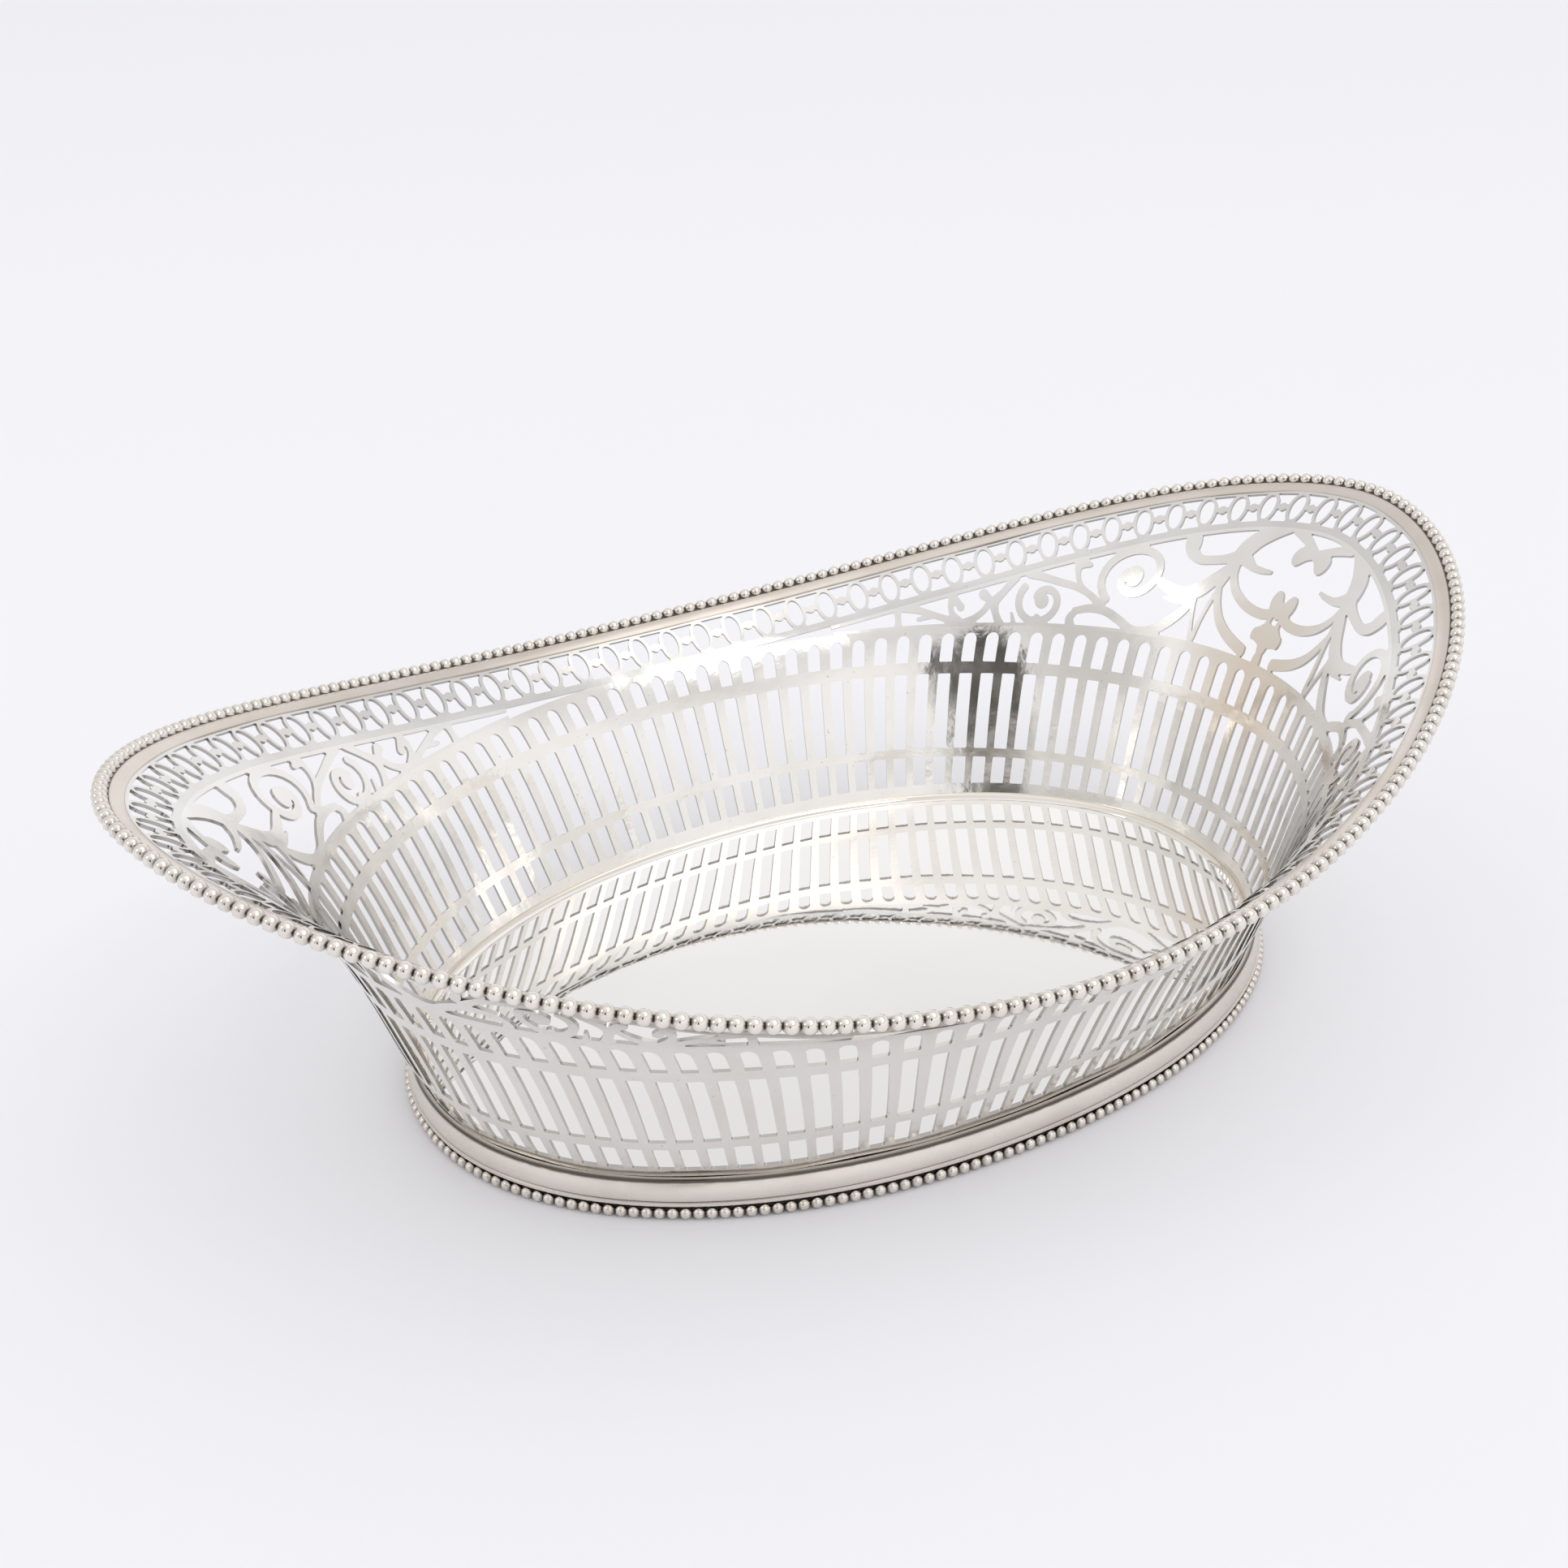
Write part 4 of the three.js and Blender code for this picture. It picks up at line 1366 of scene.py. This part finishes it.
@dataclass(frozen=True)
class SoftBox:
    """A level area lamp that faces the basket, sized in metres and lit to a given radiance."""

    name: str
    direction: Direction
    width: float
    height: float
    radiance: float
    tint: Colour
    distance: float = 3.0
    aim_height: float = 0.05

    def build(self) -> None:
        """Hangs the lamp and turns it to the basket; its power is radiance by pi by its area."""
        lamp = bpy.data.lights.new(self.name, "AREA")
        lamp.shape = "RECTANGLE"
        lamp.size, lamp.size_y = self.width, self.height
        lamp.energy = self.radiance * np.pi * self.width * self.height
        lamp.color = self.tint
        made = bpy.data.objects.new(self.name, lamp)
        away = self.direction.vector()
        made.location = away * self.distance + Vector((0, 0, self.aim_height))
        made.rotation_euler = (-away).to_track_quat("-Z", "Y").to_euler()
        bpy.context.scene.collection.objects.link(made)


@dataclass(frozen=True)
class Patch:
    """A soft-edged patch of the room: its middle, its full and faded reach in degrees, and its colour."""

    middle: Direction
    reach: tuple[float, float]
    colour: Colour


@dataclass
class Studio:
    """A pale floor, a light room with darker patches for the silver to mirror, and lamps."""

    floor_half: float = 12.0
    floor_colour: Colour = (0.935, 0.937, 0.972)
    floor_roughness: float = 0.9
    floor_gloss: float = 0.2
    backdrop: Colour = (0.87, 0.88, 0.92)
    heights: tuple = ((0.1, 1.03), (0.42, 0.99), (0.62, 0.78), (0.8, 0.82), (0.93, 0.98))
    coolness: float = 1.01
    patches: tuple = (
        Patch(Direction(125.0, 22.0), (15.0, 45.0), (0.78, 0.775, 0.77)),
        Patch(Direction(-162.0, 22.0), (8.0, 24.0), (0.66, 0.655, 0.65)),
        Patch(Direction(-30.0, 68.0), (6.0, 26.0), (1.45, 1.43, 1.4)),
        Patch(Direction(-130.0, 25.0), (9.0, 11.0), (0.09, 0.087, 0.08)),
        Patch(Direction(-130.0, 13.0), (9.0, 11.5), (0.1, 0.095, 0.088)),
    )
    lamps: tuple = (
        SoftBox("front_softbox", Direction(-73.5, 50.5), 1.7, 0.5, radiance=2.3, tint=(1.0, 0.99, 0.97)),
        SoftBox("left_softbox", Direction(172.0, 40.0), 1.0, 0.78, radiance=1.7, tint=(1.0, 0.98, 0.95)),
    )

    def floor(self) -> None:
        """Lays the floor: a flat sheet of one colour that stays matt."""
        half = self.floor_half / MM
        corners = np.array([(-half, -half, 0), (half, -half, 0), (half, half, 0), (-half, half, 0)])
        sheet = mesh_object("floor", corners, [np.array([[0, 1, 2, 3]])])
        paper = bpy.data.materials.new("floor_paper")
        paper.use_nodes = True
        shader = paper.node_tree.nodes["Principled BSDF"]
        shader.inputs["Base Color"].default_value = (*self.floor_colour, 1)
        shader.inputs["Roughness"].default_value = self.floor_roughness
        shader.inputs["Specular IOR Level"].default_value = self.floor_gloss
        sheet.data.materials.append(paper)

    def room(self) -> None:
        """Lights the room: a brightness for each height, then patches, and the backdrop's colour to the camera."""
        world = bpy.data.worlds.new("room")
        bpy.context.scene.world = world
        world.use_nodes = True
        nodes, links = world.node_tree.nodes, world.node_tree.links
        wiring = Wiring(world.node_tree)
        way = nodes.new("ShaderNodeTexCoord").outputs["Generated"]
        split = nodes.new("ShaderNodeSeparateXYZ")
        links.new(way, split.inputs["Vector"])
        ramp = nodes.new("ShaderNodeValToRGB")
        ramp.color_ramp.interpolation = "EASE"
        stops = ramp.color_ramp.elements
        ready = len(stops)
        for number, (height, level) in enumerate(self.heights):
            stop = stops[number] if number < ready else stops.new(height)
            stop.position = height
            stop.color = (level, level, level * self.coolness, 1)
        links.new(split.outputs["Z"], ramp.inputs["Fac"])
        colour = ramp.outputs["Color"]
        for patch in self.patches:
            near = wiring.measured("DOT_PRODUCT", way, patch.middle.vector())
            full, faded = (np.cos(np.radians(angle)) for angle in patch.reach)
            share = wiring.ranged(near, faded, full, (0.0, 1.0), soft=True)
            colour = wiring.mixed(share, colour, patch.colour)
        camera_ray = nodes.new("ShaderNodeLightPath").outputs["Is Camera Ray"]
        links.new(wiring.mixed(camera_ray, colour, self.backdrop), nodes["Background"].inputs["Color"])

    def build(self) -> None:
        """Sets up floor, room and lamps."""
        self.floor()
        self.room()
        for lamp in self.lamps:
            lamp.build()


FOOT_POWER = 2.1
WIRE_OVER_SHEET = 1.3
# Sections by distance outward, distance upward and shade, going round from outward to upward.
# The shade is painted shade: in the rim a dark core between beads and flange and a little along the band's lower
# edge, in the foot dark lines in its groove and where it meets the wire and the wall.
RIM_PROFILE = (
    (-0.45, -3.95, 0.3), (0.45, -3.95, 0.3), (0.62, -3.6, 0.0), (0.62, -0.75, 0.0), (0.5, -0.45, 0.7),
    (0.35, -0.4, 1.0), (0.3, 1.0, 1.0), (-0.3, 1.0, 1.0), (-0.35, -0.4, 1.0), (-0.5, -0.45, 0.7),
    (-0.62, -0.75, 0.0), (-0.62, -3.6, 0.0),
)
FOOT_PROFILE = (
    (0.95, 3.1, 0.9), (1.9, 3.1, 0.8), (2.05, 3.35, 0.1), (1.95, 4.0, 0.0), (1.6, 4.25, 0.7),
    (1.78, 4.5, 0.1), (1.78, 5.4, 0.0), (1.52, 6.6, 0.0), (1.15, 7.8, 0.0), (0.88, 8.5, 0.05),
    (0.5, 8.7, 0.95), (0.4, 9.25, 0.95), (0.2, 9.5, 0.5), (-0.35, 9.5, 0.0), (-0.55, 9.2, 0.0),
    (-0.3, 7.5, 0.0), (0.25, 5.5, 0.0),
)


def main() -> None:
    """Builds the basket's pieces from the foot up, then the studio and the camera."""
    logging.basicConfig(level=logging.INFO, format="%(name)s %(message)s")
    surface = WallSurface(
        foot=Oval(112.9, 79.3, FOOT_POWER, 9.2, 9.2),
        belly=Oval(124.0, 90.0, 2.0, 29.0, 30.0),
        flare=Oval(126.0, 96.0, 2.0, 55.0, 75.0),
        rim=Oval(170.0, 115.2, 1.87, 64.0, 99.9),
    )
    chart = RimChart(surface)
    sheet = Sheet(surface)
    wire_oval = Oval(115.6, 82.2, FOOT_POWER, 1.45, 1.45)
    band_oval = Oval(114.0, 80.4, FOOT_POWER)
    plate_oval = Oval(112.9, 79.3, FOOT_POWER)

    def wire_line(along: Array) -> Place:
        """Places along the rim's wire, just past the sheet's upper line."""
        return under_rim(chart, along, -WIRE_OVER_SHEET)

    def rim_line(along: Array) -> Place:
        """Places along the sheet's upper line."""
        return under_rim(chart, along, 0.0)

    def foot_line(along: Array) -> Place:
        """Places along the foot's wire."""
        return on_level(wire_oval, along / wire_oval.length)

    def band_line(along: Array) -> Place:
        """Places along the foot's band."""
        return on_level(band_oval, along / band_oval.length)

    wall = SlottedWall(sheet, chart)
    pieces = [
        BeadedWire(
            "beaded_foot_wire", Slot.FOOT, "foot_wire", foot_line, wire_oval.length, beads=218, radius=1.45
        ),
        Band("foot_band_ring", Slot.FOOT, "foot_band", band_line, band_oval.length, FOOT_PROFILE),
        BasePlate(plate_oval),
        wall,
        RingBorder(sheet, chart),
        ScrollPanel(sheet, chart, wall, "right", middle=0.0),
        ScrollPanel(sheet, chart, wall, "left", middle=0.5),
        Band("rim_band_ring", Slot.RIM, "rim_band", rim_line, surface.rim.length, RIM_PROFILE),
        BeadedWire(
            "beaded_rim_wire", Slot.WIRE, "rim_wire", wire_line, surface.rim.length, beads=260, radius=1.8
        ),
    ]
    for piece in pieces:
        piece.build()
    Studio().build()
    Camera().build()
    bpy.context.scene.view_settings.view_transform = "Standard"


if __name__ == "__main__":
    main()
